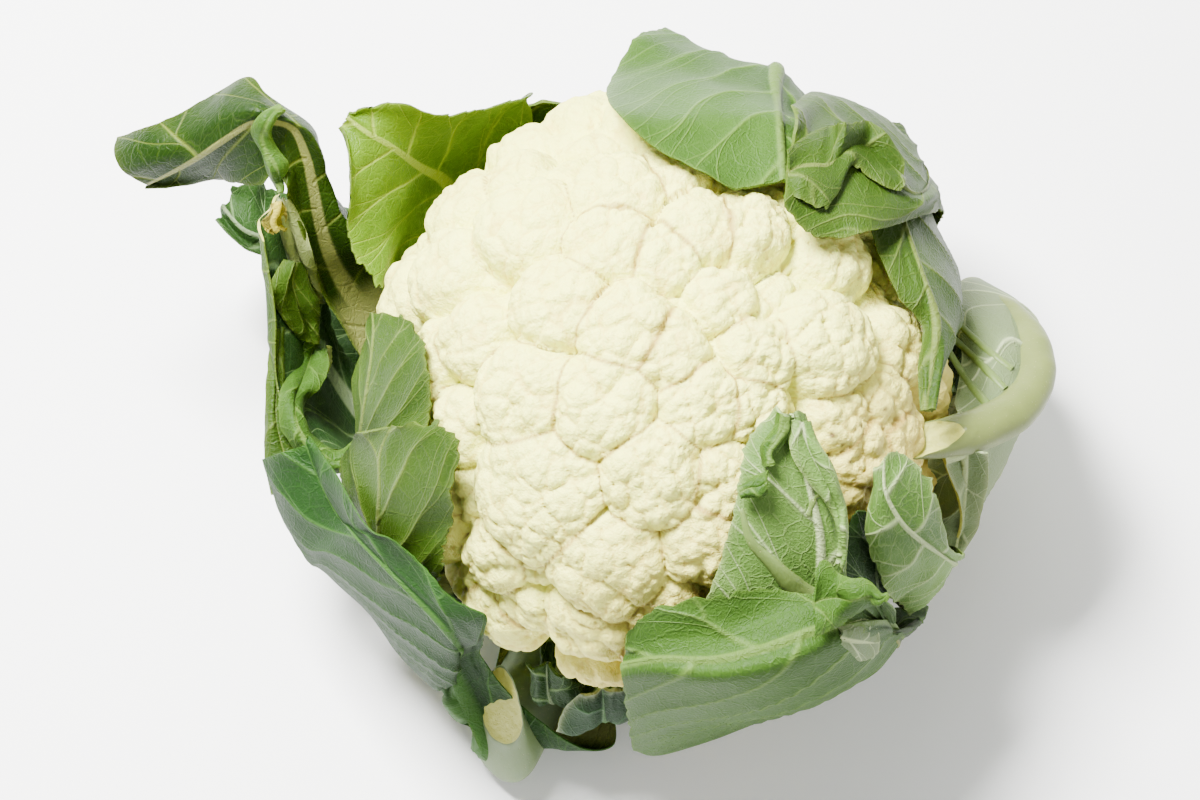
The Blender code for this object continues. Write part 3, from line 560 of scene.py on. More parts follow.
def coarseGrid(leaf, toothed):
    share = leafRules["share"]
    stations = leafRules["extraStations"] + len(leaf["rows"])
    places = np.linspace(0, 1, stations) ** 0.92
    rows = spline(leafRows(leaf), places)
    ribs, lefts, rights = rows[:, 0:3], rows[:, 3:6], rows[:, 6:9]
    outward = -unit(np.cross(unit(rights - lefts), unit(np.gradient(ribs, axis=0))))
    grown = np.clip((places - 0.25) / 0.2, 0, 1) if "root" in leaf else np.ones(stations)
    halves = np.linspace(leaf["stem"][0], leaf["tip"][0], stations)
    grid = []
    for station in range(stations):
        line = []
        for side, edge in ((0, lefts[station]), (1, rights[station])):
            width = np.linalg.norm(edge - ribs[station])
            inner = min(0.7, halves[station] / max(width, 1e-6))
            steps = np.arange(1, share) / (share - 1)
            fractions = np.concatenate(((inner,), inner + (1 - inner) * steps))
            depth, count = leaf["wave"]
            wave = depth * grown[station] * math.sin(2 * math.pi * count * places[station] + side)
            curl = leaf.get("curl", (0, 0))[side] * grown[station]
            points = sideCurve(ribs[station], edge, outward[station], leaf["bulge"][side] * grown[station],
                               curl, fractions)
            points = [point + outward[station] * wave * part**2 for point, part in zip(points, fractions)]
            if toothed:
                tooth = leaf["teeth"][side] * grown[station] * (1 if station % 2 else -1)
                points[-1] = points[-1] + unit(points[-1] - points[-2]) * tooth
            line.append(points)
        grid.append(list(reversed(line[0])) + [ribs[station]] + line[1])
    return np.array(grid)


def gridNormals(grid):
    return unit(np.cross(np.gradient(grid, axis=1), np.gradient(grid, axis=0)))


def ribDepth(leaf, grid):
    stations, width = grid.shape[:2]
    middle = width // 2
    depth = np.linspace(1, 0, stations)[:, None] ** 2.0
    depth = leaf["tip"][1] + (leaf["stem"][1] - leaf["tip"][1]) * depth
    half = np.linspace(leaf["stem"][0], leaf["tip"][0], stations)[:, None] * 1.02
    offset = np.linalg.norm(grid - grid[:, middle:middle + 1], axis=2)
    return depth * np.sqrt(np.clip(1 - (offset / half) ** 2, 0, 1))


def ribProfile(leaf, grid):
    # the rib as it shows: it narrows sooner than the part's, and its sides run out into the blade
    stations, width = grid.shape[:2]
    middle = width // 2
    fall = np.linspace(1, 0, stations)[:, None] ** leaf["ribFall"]
    half = leaf["ribTip"][0] + (leaf["stem"][0] - leaf["ribTip"][0]) * fall
    depth = leaf["ribTip"][1] + (leaf["stem"][1] - leaf["ribTip"][1]) * fall
    offset = np.linalg.norm(grid - grid[:, middle:middle + 1], axis=2)
    return depth * np.clip(1 - (offset / half) ** 2, 0, 1) ** 0.7, np.clip(1.3 - offset / half, 0, 1)


def cells(points):
    offset = points - headCentre
    distance = np.linalg.norm(offset, axis=-1)
    turn = np.arctan2(offset[..., 1], offset[..., 0]) % (2 * math.pi)
    rise = np.arcsin(np.clip(offset[..., 2] / np.maximum(distance, 1e-6), -1, 1)) + math.pi / 2
    column = (turn / leafRules["cell"]).astype(int) % leafRules["around"]
    row = np.clip((rise / leafRules["cell"]).astype(int), 0, leafRules["rises"] - 1)
    return row, column, distance


def densify(grid, factor):
    for axis in (0, 1):
        count = grid.shape[axis]
        places = np.linspace(0, count - 1, (count - 1) * factor + 1)
        low = np.minimum(places.astype(int), count - 2)
        part = (places - low).reshape([-1 if a == axis else 1 for a in range(grid.ndim)])
        grid = np.take(grid, low, axis=axis) * (1 - part) + np.take(grid, low + 1, axis=axis) * part
    return grid


def startSpace(florets):
    row, column = np.meshgrid(np.arange(leafRules["rises"]), np.arange(leafRules["around"]), indexing="ij")
    rise = (row + 0.5) * leafRules["cell"] - math.pi / 2
    turn = (column + 0.5) * leafRules["cell"]
    directions = np.stack((np.cos(rise) * np.cos(turn), np.cos(rise) * np.sin(turn), np.sin(rise)), axis=-1)
    return curdRadius(directions.reshape(-1, 3), florets)[0].reshape(row.shape)


def neighboursMost(space):
    most = space.copy()
    for up in (-1, 0, 1):
        lifted = np.roll(space, up, axis=0)
        for turn in (-1, 0, 1):
            most = np.maximum(most, np.roll(lifted, turn, axis=1))
    return most


def averaged(field, own):
    # each value blended with its four neighbours; its own counts this many times
    margins = ((1, 1), (1, 1), (0, 0))[:field.ndim]
    padded = np.pad(field, margins, mode="edge")
    around = padded[:-2, 1:-1] + padded[2:, 1:-1] + padded[1:-1, :-2] + padded[1:-1, 2:]
    return (around + own * field) / (4 + own)


def clearOf(spaces, leaf, grid):
    # the same push out from the head's centre that the part's leaves had
    factor = 3
    taken = [space for name, space in spaces.items() if name not in leaf.get("liesBy", ())]
    reach = neighboursMost(np.max(taken, axis=0)) + leafRules["spread"]
    for _ in range(3):
        outer = grid - gridNormals(grid) * (leafRules["blade"] + ribDepth(leaf, grid))[..., None]
        need = np.zeros(grid.shape[:2])
        for face in (grid, outer):
            dense = densify(face, factor)
            row, column, distance = cells(dense)
            overStalk = np.hypot(dense[..., 0], dense[..., 1]) < leafRules["stalkRoom"]
            short = np.where(overStalk, 0, reach[row, column] - distance)
            i, j = np.nonzero(short > 0)
            for a in (i // factor, -(-i // factor)):
                for b in (j // factor, -(-j // factor)):
                    np.maximum.at(need, (a, b), short[i, j])
        if need.max() <= 0.01:
            break
        push = need.copy()
        for _ in range(8):
            push = np.maximum(need, averaged(push, 2))
        push[0] = 0
        grid = grid + unit(grid - headCentre) * push[..., None]
    return grid


def takenSpace(leaf, grid):
    space = np.zeros((leafRules["rises"], leafRules["around"]))
    outer = grid - gridNormals(grid) * (leafRules["blade"] + ribDepth(leaf, grid))[..., None]
    for face in (grid, outer):
        row, column, distance = cells(densify(face, 7))
        np.maximum.at(space, (row, column), distance)
    return space


def curveThrough(grid, places):
    # smooth curve through the grid's rows, read at these row numbers
    count = len(grid)
    low = np.clip(places.astype(int), 0, count - 2)
    part = (places - low).reshape([-1] + [1] * (grid.ndim - 1))
    before, start, end, after = (grid[np.clip(low + step, 0, count - 1)] for step in (-1, 0, 1, 2))
    return 0.5 * (2 * start + (end - before) * part + (2 * before - 5 * start + 4 * end - after) * part**2
                  + (3 * start - before - 3 * end + after) * part**3)


def columnPlaces(share, ribColumns, bladeColumns):
    # column numbers of the fine grid, closer together over the rib
    blade = np.linspace(0, share - 1, bladeColumns, endpoint=False)
    rib = np.linspace(share - 1, share, ribColumns, endpoint=False)
    left = np.concatenate((blade, rib))
    return np.concatenate((left, (share,), 2 * share - left[::-1]))


def softNormals(grid):
    # face directions read from a slightly smoothed sheet, so that tight folds stay whole
    for _ in range(3):
        grid = averaged(grid, 0)
    return gridNormals(grid)


def sheetShape(leaf, coarse):
    # fine sheet with its veins, puckers, waves and teeth, and what the finishes need at each point
    share = leafRules["share"]
    stations, bladeColumns = leaf["fineness"]
    columns = columnPlaces(share, leafRules["ribColumns"], bladeColumns)
    grid = curveThrough(coarse, np.linspace(0, len(coarse) - 1, stations))
    grid = np.swapaxes(curveThrough(np.swapaxes(grid, 0, 1), columns), 0, 1)
    middle = len(columns) // 2
    side = np.sign(columns - share)[None, :]
    t = np.broadcast_to(np.clip((np.abs(columns - share) - 1) / (share - 1), 0, 1), grid.shape[:2])
    steps = np.linalg.norm(np.diff(grid, axis=1), axis=2)
    across = np.concatenate((np.zeros((stations, 1)), np.cumsum(steps, axis=1)), axis=1)
    across = across - across[:, middle:middle + 1]
    runs = np.linalg.norm(np.diff(grid[:, middle], axis=0), axis=1)
    along = np.concatenate(((0.0,), np.cumsum(runs)))[:, None] + np.zeros_like(across)
    flat = np.stack((across, along), axis=-1)
    seed = leaf["seed"]
    place = np.linspace(0, 1, stations)[:, None] + np.zeros_like(across)
    grown = smoothStep(place, 0.2, 0.42) if "root" in leaf else np.ones_like(place)
    offRib = smoothStep(t, 0.0, 0.22) * grown
    # side veins run out from the rib towards the tip; whole numbers of this count are the veins
    spacing, lean, width = leaf["veins"]
    reach = np.abs(across)
    pitch = spacing * math.sqrt(1 + lean * lean)
    sway = softNoise(flat, 38.0, seed) * 0.34 + softNoise(flat, 13.0, seed + 9) * 0.09
    veins = [(along - lean * reach * (1 + reach / 120)) / pitch + shift + sway for shift in (0.0, 0.46)]
    number = np.where(side < 0, veins[0], veins[1])
    fromVein = np.abs(number - np.round(number)) * spacing
    ridge = np.exp(-(fromVein / 1.5) ** 2) * offRib * (1.05 - t)
    pucker = np.sin(np.pi * (number % 1.0)) * offRib
    bubbles = softNoise(flat, 9.0, seed + 1) + 0.5 * softNoise(flat, 4.5, seed + 2)
    waves = softNoise(flat, 30.0, seed + 3) + 0.45 * softNoise(flat, 13.0, seed + 4)
    lift = (leaf["pucker"] * pucker * smoothStep(1.05 - t, 0, 0.3) + 0.35 * leaf["pucker"] * bubbles * offRib
            - 0.3 * leaf["ridge"] * ridge + leaf["ruffle"] * waves * smoothStep(t, 0.3, 1.0) * grown)
    # teeth come in stretches, between smoother lengths of margin
    fromSide = np.where(side < 0, across - across[:, :1], across[:, -1:] - across)
    fromTip = along[-1:] - along
    toothed = smoothStep(softNoise(flat, 22.0, seed + 5), -0.35, 0.35)
    tooth = softNoise(flat, 2.6, seed + 6) + 0.5 * softNoise(flat, 1.4, seed + 7) - 0.4
    tooth = tooth * (0.15 + toothed) * leaf["tooth"]
    outAcross = unit(np.gradient(grid, axis=1)) * side[..., None]
    outAlong = unit(np.gradient(grid, axis=0))
    room = np.minimum(1, np.abs(across[:, :1]) / 12)
    sideMove = tooth * np.exp(-fromSide / 1.6) * grown * room
    tipMove = tooth * np.exp(-fromTip / 1.6) * (0 if leaf["cutTip"] else 1)
    normals = softNormals(grid)
    grid = grid + normals * lift[..., None] + outAcross * sideMove[..., None] + outAlong * tipMove[..., None]
    rib, ribTone = ribProfile(leaf, grid)
    blade = leafRules["blade"] + (leafRules["rimBlade"] - leafRules["blade"]) * t**3
    depth = blade + rib + leaf["ridge"] * ridge
    margin = np.exp(-np.minimum(fromSide, fromTip) / 0.9)
    stem = 1 - smoothStep(place, *leaf["stemTone"])
    blotch = softNoise(flat, 34.0, seed + 7) * 0.5 + 0.5
    tone = np.stack((np.maximum(ribTone, stem), margin, blotch, t), axis=-1)
    return grid, depth, normals, (veins, t, across, along, tone)


def sheetPiece(name, node, inner, outer, marks, finishes):
    # closed sheet between its two faces, with the vein and size maps its finishes read
    veins, half, across, along, tone = marks
    stations, width = inner.shape[:2]
    count = stations * width
    number = np.arange(count).reshape(stations, width)
    a, b, c, d = number[:-1, :-1], number[:-1, 1:], number[1:, 1:], number[1:, :-1]
    top = np.stack((a, b, c, d), axis=-1).reshape(-1, 4)
    low = np.stack((d, c, b, a), axis=-1).reshape(-1, 4) + count
    ring = np.concatenate((number[0, :], number[1:, -1], number[-1, -2::-1], number[-2:0:-1, 0]))
    after = np.roll(ring, -1)
    rim = np.stack((after, ring, ring + count, after + count), axis=-1)
    faces = np.concatenate((top, low, rim))
    points = np.concatenate((inner.reshape(-1, 3), outer.reshape(-1, 3))) * mm
    data = bpy.data.meshes.new(name)
    data.from_pydata(points.tolist(), [], faces.tolist())
    corner = faces.ravel()
    corner = np.where(corner >= count, corner - count, corner)
    centre = np.tile(np.repeat(np.arange(width - 1) < width // 2, 4), stations - 1)
    onLeft = np.concatenate((centre, centre, (corner % width < width // 2)[2 * len(centre):]))
    vein = np.where(onLeft, veins[0].ravel()[corner], veins[1].ravel()[corner])
    maps = (("veins", vein, half.ravel()[corner]),
            ("spread", across.ravel()[corner] / 100, along.ravel()[corner] / 100))
    for label, first, second in maps:
        layer = data.uv_layers.new(name=label)
        layer.data.foreach_set("uv", np.stack((first, second), axis=1).astype(np.float32).ravel())
    slots = np.concatenate((np.zeros(len(top)), np.ones(len(low) + len(rim)))).astype(np.int32)
    tipStart = len(top) + len(low) + width - 1 + stations - 1
    if len(finishes) > 2:
        slots[tipStart:tipStart + width - 1] = 2
    data.polygons.foreach_set("material_index", slots)
    paintPoints(data, "tone", np.concatenate((tone.reshape(-1, 4), tone.reshape(-1, 4))))
    data.shade_smooth()
    data.set_sharp_from_angle(angle=math.radians(70))
    return addPiece(name, node, data, finishes)


def leafFinish(name, look, raised):
    # living leaf skin: satin, waxy; pale veins stand up on the under face and are sunk in the upper one
    finish, tree, shader = newFinish(name)
    veinMap = addNode(tree, "UVMap", {"uv_map": "veins"})
    spread = addNode(tree, "UVMap", {"uv_map": "spread"}).outputs["UV"]
    toneMap = addNode(tree, "Attribute", {"attribute_name": "tone"})
    tone = addNode(tree, "SeparateColor", links={0: toneMap.outputs["Color"]})
    place = addNode(tree, "SeparateXYZ", links={0: veinMap.outputs["UV"]})
    number, half = place.outputs["X"], place.outputs["Y"]
    size = look["veinWidth"] / look["veinSpacing"]
    # side veins, each with its own strength
    fromVein = addNode(tree, "Math", {"operation": "PINGPONG", 1: 0.5}, {0: number})
    whole = addNode(tree, "Math", {"operation": "ROUND"}, {0: number})
    chance = addNode(tree, "TexWhiteNoise", {"noise_dimensions": "1D"}, {"W": whole.outputs["Value"]})
    width = addNode(tree, "MapRange", {"To Min": size, "To Max": 0.3 * size}, {"Value": half})
    vein = addNode(tree, "MapRange", {**smooth, "From Max": 0.0},
                   {"Value": fromVein.outputs["Value"], "From Min": width.outputs["Result"]})
    strength = addNode(tree, "MapRange", {"To Min": 0.55, "To Max": 1.25}, {"Value": chance.outputs["Value"]})
    lines = addNode(tree, "Math", {"operation": "MULTIPLY", "use_clamp": True},
                    {0: vein.outputs["Result"], 1: strength.outputs["Result"]})
    halo = addNode(tree, "MapRange", {"From Min": 0.16, "From Max": 0.0, "To Max": 0.3},
                   {"Value": fromVein.outputs["Value"]})
    # two branches leave each side vein on its way to the margin
    part = addNode(tree, "Math", {"operation": "FRACT"}, {0: number})
    for begin, end, low, high in ((0.18, 0.95, 0.0, 0.4), (0.45, 1.05, 1.0, 0.7)):
        branch = addNode(tree, "MapRange",
                         {**smooth, "From Min": begin, "From Max": end, "To Min": low, "To Max": high},
                         {"Value": half})
        apart = addNode(tree, "Math", {"operation": "SUBTRACT"},
                        {0: part.outputs["Value"], 1: branch.outputs["Result"]})
        near = addNode(tree, "Math", {"operation": "ABSOLUTE"}, {0: apart.outputs["Value"]})
        line = addNode(tree, "MapRange", {**smooth, "From Min": 0.42 * size, "From Max": 0.0, "To Max": 0.7},
                       {"Value": near.outputs["Value"]})
        lines = addNode(tree, "Math", {"operation": "MAXIMUM"},
                        {0: lines.outputs["Value"], 1: line.outputs["Result"]})
    # net of small veins: meshes about 6 mm and 2 mm across
    wander = addNode(tree, "TexNoise", {"Scale": 26.0, "Detail": 2.0}, {"Vector": spread})
    wandered = addNode(tree, "VectorMath", {"operation": "MULTIPLY_ADD", 1: (0.03, 0.03, 0.0)},
                       {0: wander.outputs["Color"], 2: spread})
    nets = []
    for scale, reach, most in ((16.0, 0.07, 1.0), (48.0, 0.12, 0.5)):
        net = addNode(tree, "TexVoronoi",
                      {"feature": "DISTANCE_TO_EDGE", "voronoi_dimensions": "2D", "Scale": scale},
                      {"Vector": wandered.outputs["Vector"]})
        nets.append(addNode(tree, "MapRange", {**smooth, "From Min": reach, "From Max": 0.0, "To Max": most},
                            {"Value": net.outputs["Distance"]}).outputs["Result"])
    small = addNode(tree, "Math", {"operation": "MAXIMUM"}, {0: nets[0], 1: nets[1]}).outputs["Value"]
    # colour, from the blade up to the rib
    blotch = addNode(tree, "TexNoise", {"Scale": 6.0, "Detail": 6.0, "Roughness": 0.65}, {"Vector": spread})
    blend = addNode(tree, "Math", {"operation": "MULTIPLY_ADD", 1: 1.1},
                    {0: blotch.outputs["Fac"], 2: tone.outputs["Blue"]})
    patch = addNode(tree, "MapRange", {"From Min": 0.65, "From Max": 1.45}, {"Value": blend.outputs["Value"]})
    netShow = addNode(tree, "Math", {"operation": "MULTIPLY", 1: look["net"]}, {0: small})
    ribShow = addNode(tree, "MapRange", {**smooth, "From Min": 0.12, "From Max": 0.6},
                      {"Value": tone.outputs["Red"]})
    rimShow = addNode(tree, "Math", {"operation": "MULTIPLY", 1: 0.6}, {0: tone.outputs["Green"]})
    colour = layered(tree, look["deep"], (
        (look["blade"], patch.outputs["Result"]), (look["halo"], halo.outputs["Result"]),
        (look["halo"], netShow.outputs["Value"]), (look["vein"], lines.outputs["Value"]),
        (look["rib"], ribShow.outputs["Result"]), (look["rim"], rimShow.outputs["Value"])))
    # relief of the small veins and the grain between them
    grain = addNode(tree, "TexNoise", {"Scale": 130.0, "Detail": 2.0}, {"Vector": spread})
    netRise = addNode(tree, "Math", {"operation": "MULTIPLY_ADD", 1: 0.45},
                      {0: small, 2: lines.outputs["Value"]})
    rise = addNode(tree, "Math", {"operation": "MULTIPLY_ADD", 1: raised},
                   {0: netRise.outputs["Value"], 2: grain.outputs["Fac"]})
    bump = addNode(tree, "Bump", {"Strength": 0.6, "Distance": 0.0006}, {"Height": rise.outputs["Value"]})
    rough = addNode(tree, "MapRange", {"To Min": look["rough"] - 0.06, "To Max": look["rough"] + 0.1},
                    {"Value": blotch.outputs["Fac"]})
    setShader(tree, shader,
              {"IOR": 1.4, "Specular IOR Level": 0.16, "Subsurface Weight": 0.08,
               "Subsurface Radius": (0.5, 1.0, 0.2), "Subsurface Scale": 0.001},
              {"Base Color": colour, "Normal": bump.outputs["Normal"], "Roughness": rough.outputs["Result"]})
    return finish


# what each kind of leaf skin looks like; upper faces are grass green, under faces have a blue-grey wax bloom
lookParts = ("blade", "deep", "halo", "vein", "rib", "rim", "net", "rough")
lookSets = {
    "upperBright": ("#4e6c08", "#365405", "#607a17", "#708328", "#758731", "#6d8323", 0.4, 0.42),
    "upperGreen": ("#223805", "#132802", "#33480e", "#546121", "#777b41", "#3f4d10", 0.35, 0.42),
    "upperDark": ("#284316", "#162f0e", "#425b34", "#5b7346", "#6c7d58", "#364d24", 0.35, 0.45),
    "underPale": ("#355317", "#27410f", "#405d22", "#4e682a", "#4f672a", "#4d6824", 0.4, 0.5),
    "underGreen": ("#324a11", "#223808", "#41541b", "#516228", "#56642b", "#536423", 0.4, 0.48),
    # a lighter copy of underGreen, for the right-hand leaves that the key light reaches less: painted light
    "underGreenLit": ("#5a7a35", "#3f5d22", "#728a4c", "#8c9e69", "#94a371", "#8fa35e", 0.4, 0.48),
    "underBlue": ("#19380d", "#0e2606", "#254715", "#2f4f1d", "#345620", "#325519", 0.3, 0.52),
    "underGrey": ("#6d7c53", "#576941", "#7d8c62", "#9fac7e", "#9daa77", "#a7b27e", 0.15, 0.55),
    "innerBlue": ("#1f371c", "#112510", "#2a4526", "#385533", "#48653e", "#a3ad84", 0.3, 0.5),
    "stemPale": ("#757f48", "#5c6b38", "#818a55", "#8c945f", "#98a06c", "#7c8650", 0.2, 0.5),
    "fleshYellow": ("#988c1c", "#6a651c", "#a39728", "#aca03c", "#a69a32", "#6f6526", 0.5, 0.55),
    "fleshPale": ("#9aa85c", "#87994a", "#a6b26c", "#aeb978", "#a6b26c", "#aab665", 0.1, 0.5),
}
spaces = {"curd": startSpace(florets)}
leafDefaults = {
    "veins": (17.0, 0.75, 1.3),           # gap between side veins, how far they lean to the tip, their width
    "ribTip": (0.9, 0.5), "ribFall": 2.3, "ridge": 0.5, "stemTone": (0.16, 0.3),
    "pucker": 0.55, "ruffle": 1.2, "tooth": 0.9, "fineness": (120, 26),
    "upper": "upperGreen", "under": "underGreen", "cutTip": False,
}


def makeLeaf(settings):
    leaf = dict(leafDefaults, seed=len(spaces) * 3.7)
    leaf.update(settings)
    toothed = coarseGrid(leaf, True)
    pushed = clearOf(spaces, leaf, toothed)
    spaces[leaf["node"]] = takenSpace(leaf, pushed)
    coarse = coarseGrid(leaf, False) + pushed - toothed
    inner, depth, normals, marks = sheetShape(leaf, coarse)
    outer = inner - normals * depth[..., None]
    outer[..., 2] = np.maximum(outer[..., 2], leafRules["floorZ"])
    for face in (inner, outer):
        flat = np.hypot(face[0, :, 0], face[0, :, 1])[:, None]
        face[0, :, :2] *= (stalk["radius"] + leafRules["gap"]) / flat
    return sheetOf(leaf, leaf["node"] + "Sheet", inner, outer, marks)


def sheetOf(leaf, name, inner, outer, marks):
    finishes = []
    for side, raised in (("upper", -1.0), ("under", 1.0)):
        look = dict(zip(lookParts, lookSets[leaf[side]]))
        look.update(veinSpacing=leaf["veins"][0], veinWidth=leaf["veins"][2])
        finishes.append(leafFinish(name + side.capitalize() + "Skin", look, raised))
    if leaf["cutTip"]:
        finishes.append(cutFlesh)
    piece = sheetPiece(name, leaf["node"], inner, outer, marks, finishes)
    print(name, "made")
    return piece


def faceTree(piece):
    data = piece.data
    return BVHTree.FromPolygons([vertex.co for vertex in data.vertices],
                                [face.vertices for face in data.polygons])


def upon(tree, across, up, lift):
    # place on a piece where the sight line meets it, moved this far towards the eye
    aim = aimAt(across, up)
    ray = unit(aim - eye)
    spot = tree.ray_cast(Vector(eye * mm), Vector(ray))[0]
    if spot is None:
        spot = tree.find_nearest(Vector(aim * mm))[0]
    return eye + ray * ((np.array(spot) / mm - eye) @ ray - lift)


def beside(spot, other):
    # past the leaf's edge a place keeps the depth of the one beside it
    most, steepness = flapJump
    ray = unit(spot - eye)
    depth = (other - eye) @ ray
    apart = np.linalg.norm(eye + ray * depth - other)
    return spot if abs((spot - eye) @ ray - depth) < most + steepness * apart else eye + ray * depth


def middlePlace(spots):
    # the place whose depth is the middle one of them all
    depths = np.linalg.norm(np.array(spots) - eye, axis=1)
    return spots[int(np.argsort(depths)[len(spots) // 2])]


flapJump = (5.0, 1.5)                     # how far two places may differ in depth, and more for each mm apart


flapDefaults = {
    "stem": (1.2, 0.4), "tip": (0.6, 0.2), "ribTip": (0.6, 0.2), "wave": (0.2, 5), "teeth": (0, 0),
    "bulge": (0, 0), "stemTone": (-2.0, -1.0), "veins": (11.0, 0.8, 0.9), "fineness": (44, 10),
    "ruffle": 0.5, "pucker": 0.3, "tooth": 0.5, "under": "underGreen", "even": 8.0, "thin": 0.7,
}


def evened(rows, places, most):
    # no place of a flap lies farther than this, in mm, from the slant of the whole flap
    spots = np.array(rows).reshape(-1, 3)
    depths = np.linalg.norm(spots - eye, axis=1)
    flat = np.array([(1.0, across, up) for row in places for across, up, lift in row])
    slant = flat @ np.linalg.lstsq(flat, depths, rcond=None)[0]
    depths = slant + np.clip(depths - slant, -most, most)
    return (eye + unit(spots - eye) * depths[:, None]).reshape(len(rows), 3, 3)


def makeFlap(settings):
    # a torn, folded or rolled part of a leaf, laid over the leaf's own sheet
    leaf = dict(leafDefaults, **flapDefaults)
    leaf["seed"] = len(settings["name"]) * 2.9 + settings["rows"][0][0][0]
    leaf.update(settings)
    leaf["upper"] = settings.get("upper", leaf["under"])
    tree = faceTree(leaf["over"])
    rows = [[upon(tree, *place) for place in row] for row in settings["rows"]]
    centre = middlePlace([row[0] for row in rows])
    for row in rows:
        centre = row[0] = beside(row[0], centre)
        row[1:] = [beside(spot, centre) for spot in row[1:]]
    leaf["rows"] = evened(rows, settings["rows"], leaf["even"])
    inner, depth, normals, marks = sheetShape(leaf, coarseGrid(leaf, False))
    outer = inner - normals * depth[..., None] * leaf["thin"]
    return sheetOf(leaf, leaf["name"], inner, outer, marks)


leafInnerLeft = {
    "node": "leaf_inner_left", "root": (-168, 37), "stem": (9, 5), "tip": (3, 0.8), "bulge": (1, 1),
    "wave": (0.8, 5), "teeth": (1.2, 0), "rows": (
        (on(-84, -36, 2), on(-70, -34, 1), on(-91, -34, 2)),
        (on(-83, -22, 2), on(-66, -18, 1), on(-90, -20, 2)),
        (on(-83, -8, 2), on(-64, -5, 1), on(-90, -8, 2)),
        (on(-81, 6, 2), on(-63, 8, 1), on(-89, 7, 2)),
        (on(-80, 16, 2), on(-66, 17, 1), on(-87, 17, 2)),
        (on(-80, 24, 1), on(-73, 24, 1), on(-84, 25, 1))),
    "veins": (13.0, 1.0, 1.1), "tooth": 2.2, "ruffle": 1.8,
}
makeLeaf(leafInnerLeft)

leafInnerBottom = {
    "node": "leaf_inner_bottom", "root": (-112, 37), "stem": (8, 4), "tip": (2, 0.6), "bulge": (2, 2),
    "wave": (1.2, 4), "teeth": (1.5, 1.5), "rows": (
        (at(-28, -91, 38), at(-20, -90, 41), at(-33, -90, 38)),
        (at(-29, -86, 46), at(-19, -86, 50), at(-34, -86, 46)),
        (at(-29, -79, 54), at(-22, -80, 57), at(-36, -80, 53))),
    "veins": (10.0, 0.9, 0.9), "tooth": 1.6, "ruffle": 1.6, "fineness": (82, 18),
    "upper": "upperDark", "under": "upperDark",
}
makeLeaf(leafInnerBottom)

leafInnerRight = {
    "node": "leaf_inner_right", "root": (-60, 37), "stem": (9, 5), "tip": (2, 0.6), "bulge": (1, 1),
    "wave": (0.8, 4), "teeth": (0, 0), "rows": (
        (on(67, -62, 1), on(76, -58, 1), on(57, -60, 1)),
        (on(68, -46, 1), on(79, -42, 2), on(59, -45, 1)),
        (on(69, -34, 1), on(76, -33, 1), on(62, -34, 1))),
    "veins": (14.0, 0.8, 1.1), "fineness": (82, 18), "upper": "upperDark", "under": "upperDark",
}
makeLeaf(leafInnerRight)

leafFoldedRight = {
    "node": "leaf_folded_right", "root": (-20, 37), "stem": (9, 5), "tip": (1.6, 1.2), "bulge": (1, 2),
    "wave": (0.8, 5), "teeth": (1.2, 0), "rows": (
        (at(91, -49, 66), at(93, -46, 62), at(77, -64, 52)),
        (on(84, -44, 12), on(90, -42, 13), on(73, -60, 4)),
        (on(78, -40, 11), on(88, -35, 13), on(69, -56, 4)),
        (on(73, -33, 10), on(86, -26, 12), on(65, -45, 4)),
        (on(70, -24, 8), on(81, -20, 9), on(64, -34, 3)),
        (on(71, -18, 6), on(75, -16, 6), on(67, -24, 2))),
    # its under face takes the lighter copy of underGreen: painted light
    "veins": (13.0, 0.6, 1.1), "tooth": 1.4, "ruffle": 1.2, "under": "underGreenLit",
}
makeLeaf(leafFoldedRight)

leafInnerUpperLeft = {
    "node": "leaf_inner_upper_left", "root": (140, 37), "stem": (10, 6), "tip": (2, 1.0), "bulge": (2, 3),
    "wave": (2.0, 5), "teeth": (1.5, 0.6), "rows": (
        (at(-60, 64, 66), at(-76, 30, 74), at(-34, 86, 76)),
        (at(-65, 67, 80), at(-77, 32, 86), at(-35, 91, 90)),
        (at(-70, 70, 91), at(-82, 34, 93), at(-49, 86, 98)),
        (at(-75, 74, 100), at(-87, 45, 100), at(-61, 83, 104)),
        (at(-82, 78, 108), at(-89, 59, 106), at(-73, 88, 112)),
        (at(-88, 82, 112), at(-91, 72, 110), at(-82, 84, 112)),
        (at(-90, 84, 113), at(-91, 80, 112), at(-88, 86, 113))),
    "veins": (17.0, 0.7, 1.2), "tooth": 2.4, "ruffle": 2.2, "fineness": (138, 32),
    "upper": "upperBright", "under": "underGreen",
}
makeLeaf(leafInnerUpperLeft)

leafLeftWrap = {
    "node": "leaf_left_wrap", "root": (-142, 25), "stem": (10, 6), "tip": (2, 1.0), "bulge": (1, 2),
    "wave": (1.0, 6), "teeth": (1.5, 0), "rows": (
        (at(-76, -60, 44), at(-62, -62, 54), at(-86, -52, 38)),
        (on(-74, -50, 4), on(-60, -52, 1), on(-84, -46, 3)),
        (on(-76, -38, 4), on(-57, -40, 1), on(-88, -36, 4)),
        (on(-76, -28, 5), on(-55, -28, 2), on(-92, -27, 6)),
        (on(-76, -16, 5), on(-53, -13, 3), on(-92, -18, 7)),
        (on(-73, -9, 5), on(-60, -7, 3), on(-84, -11, 6))),
    "veins": (15.0, 1.0, 1.1), "tooth": 2.2, "ruffle": 1.8, "fineness": (128, 30),
}
makeLeaf(leafLeftWrap)

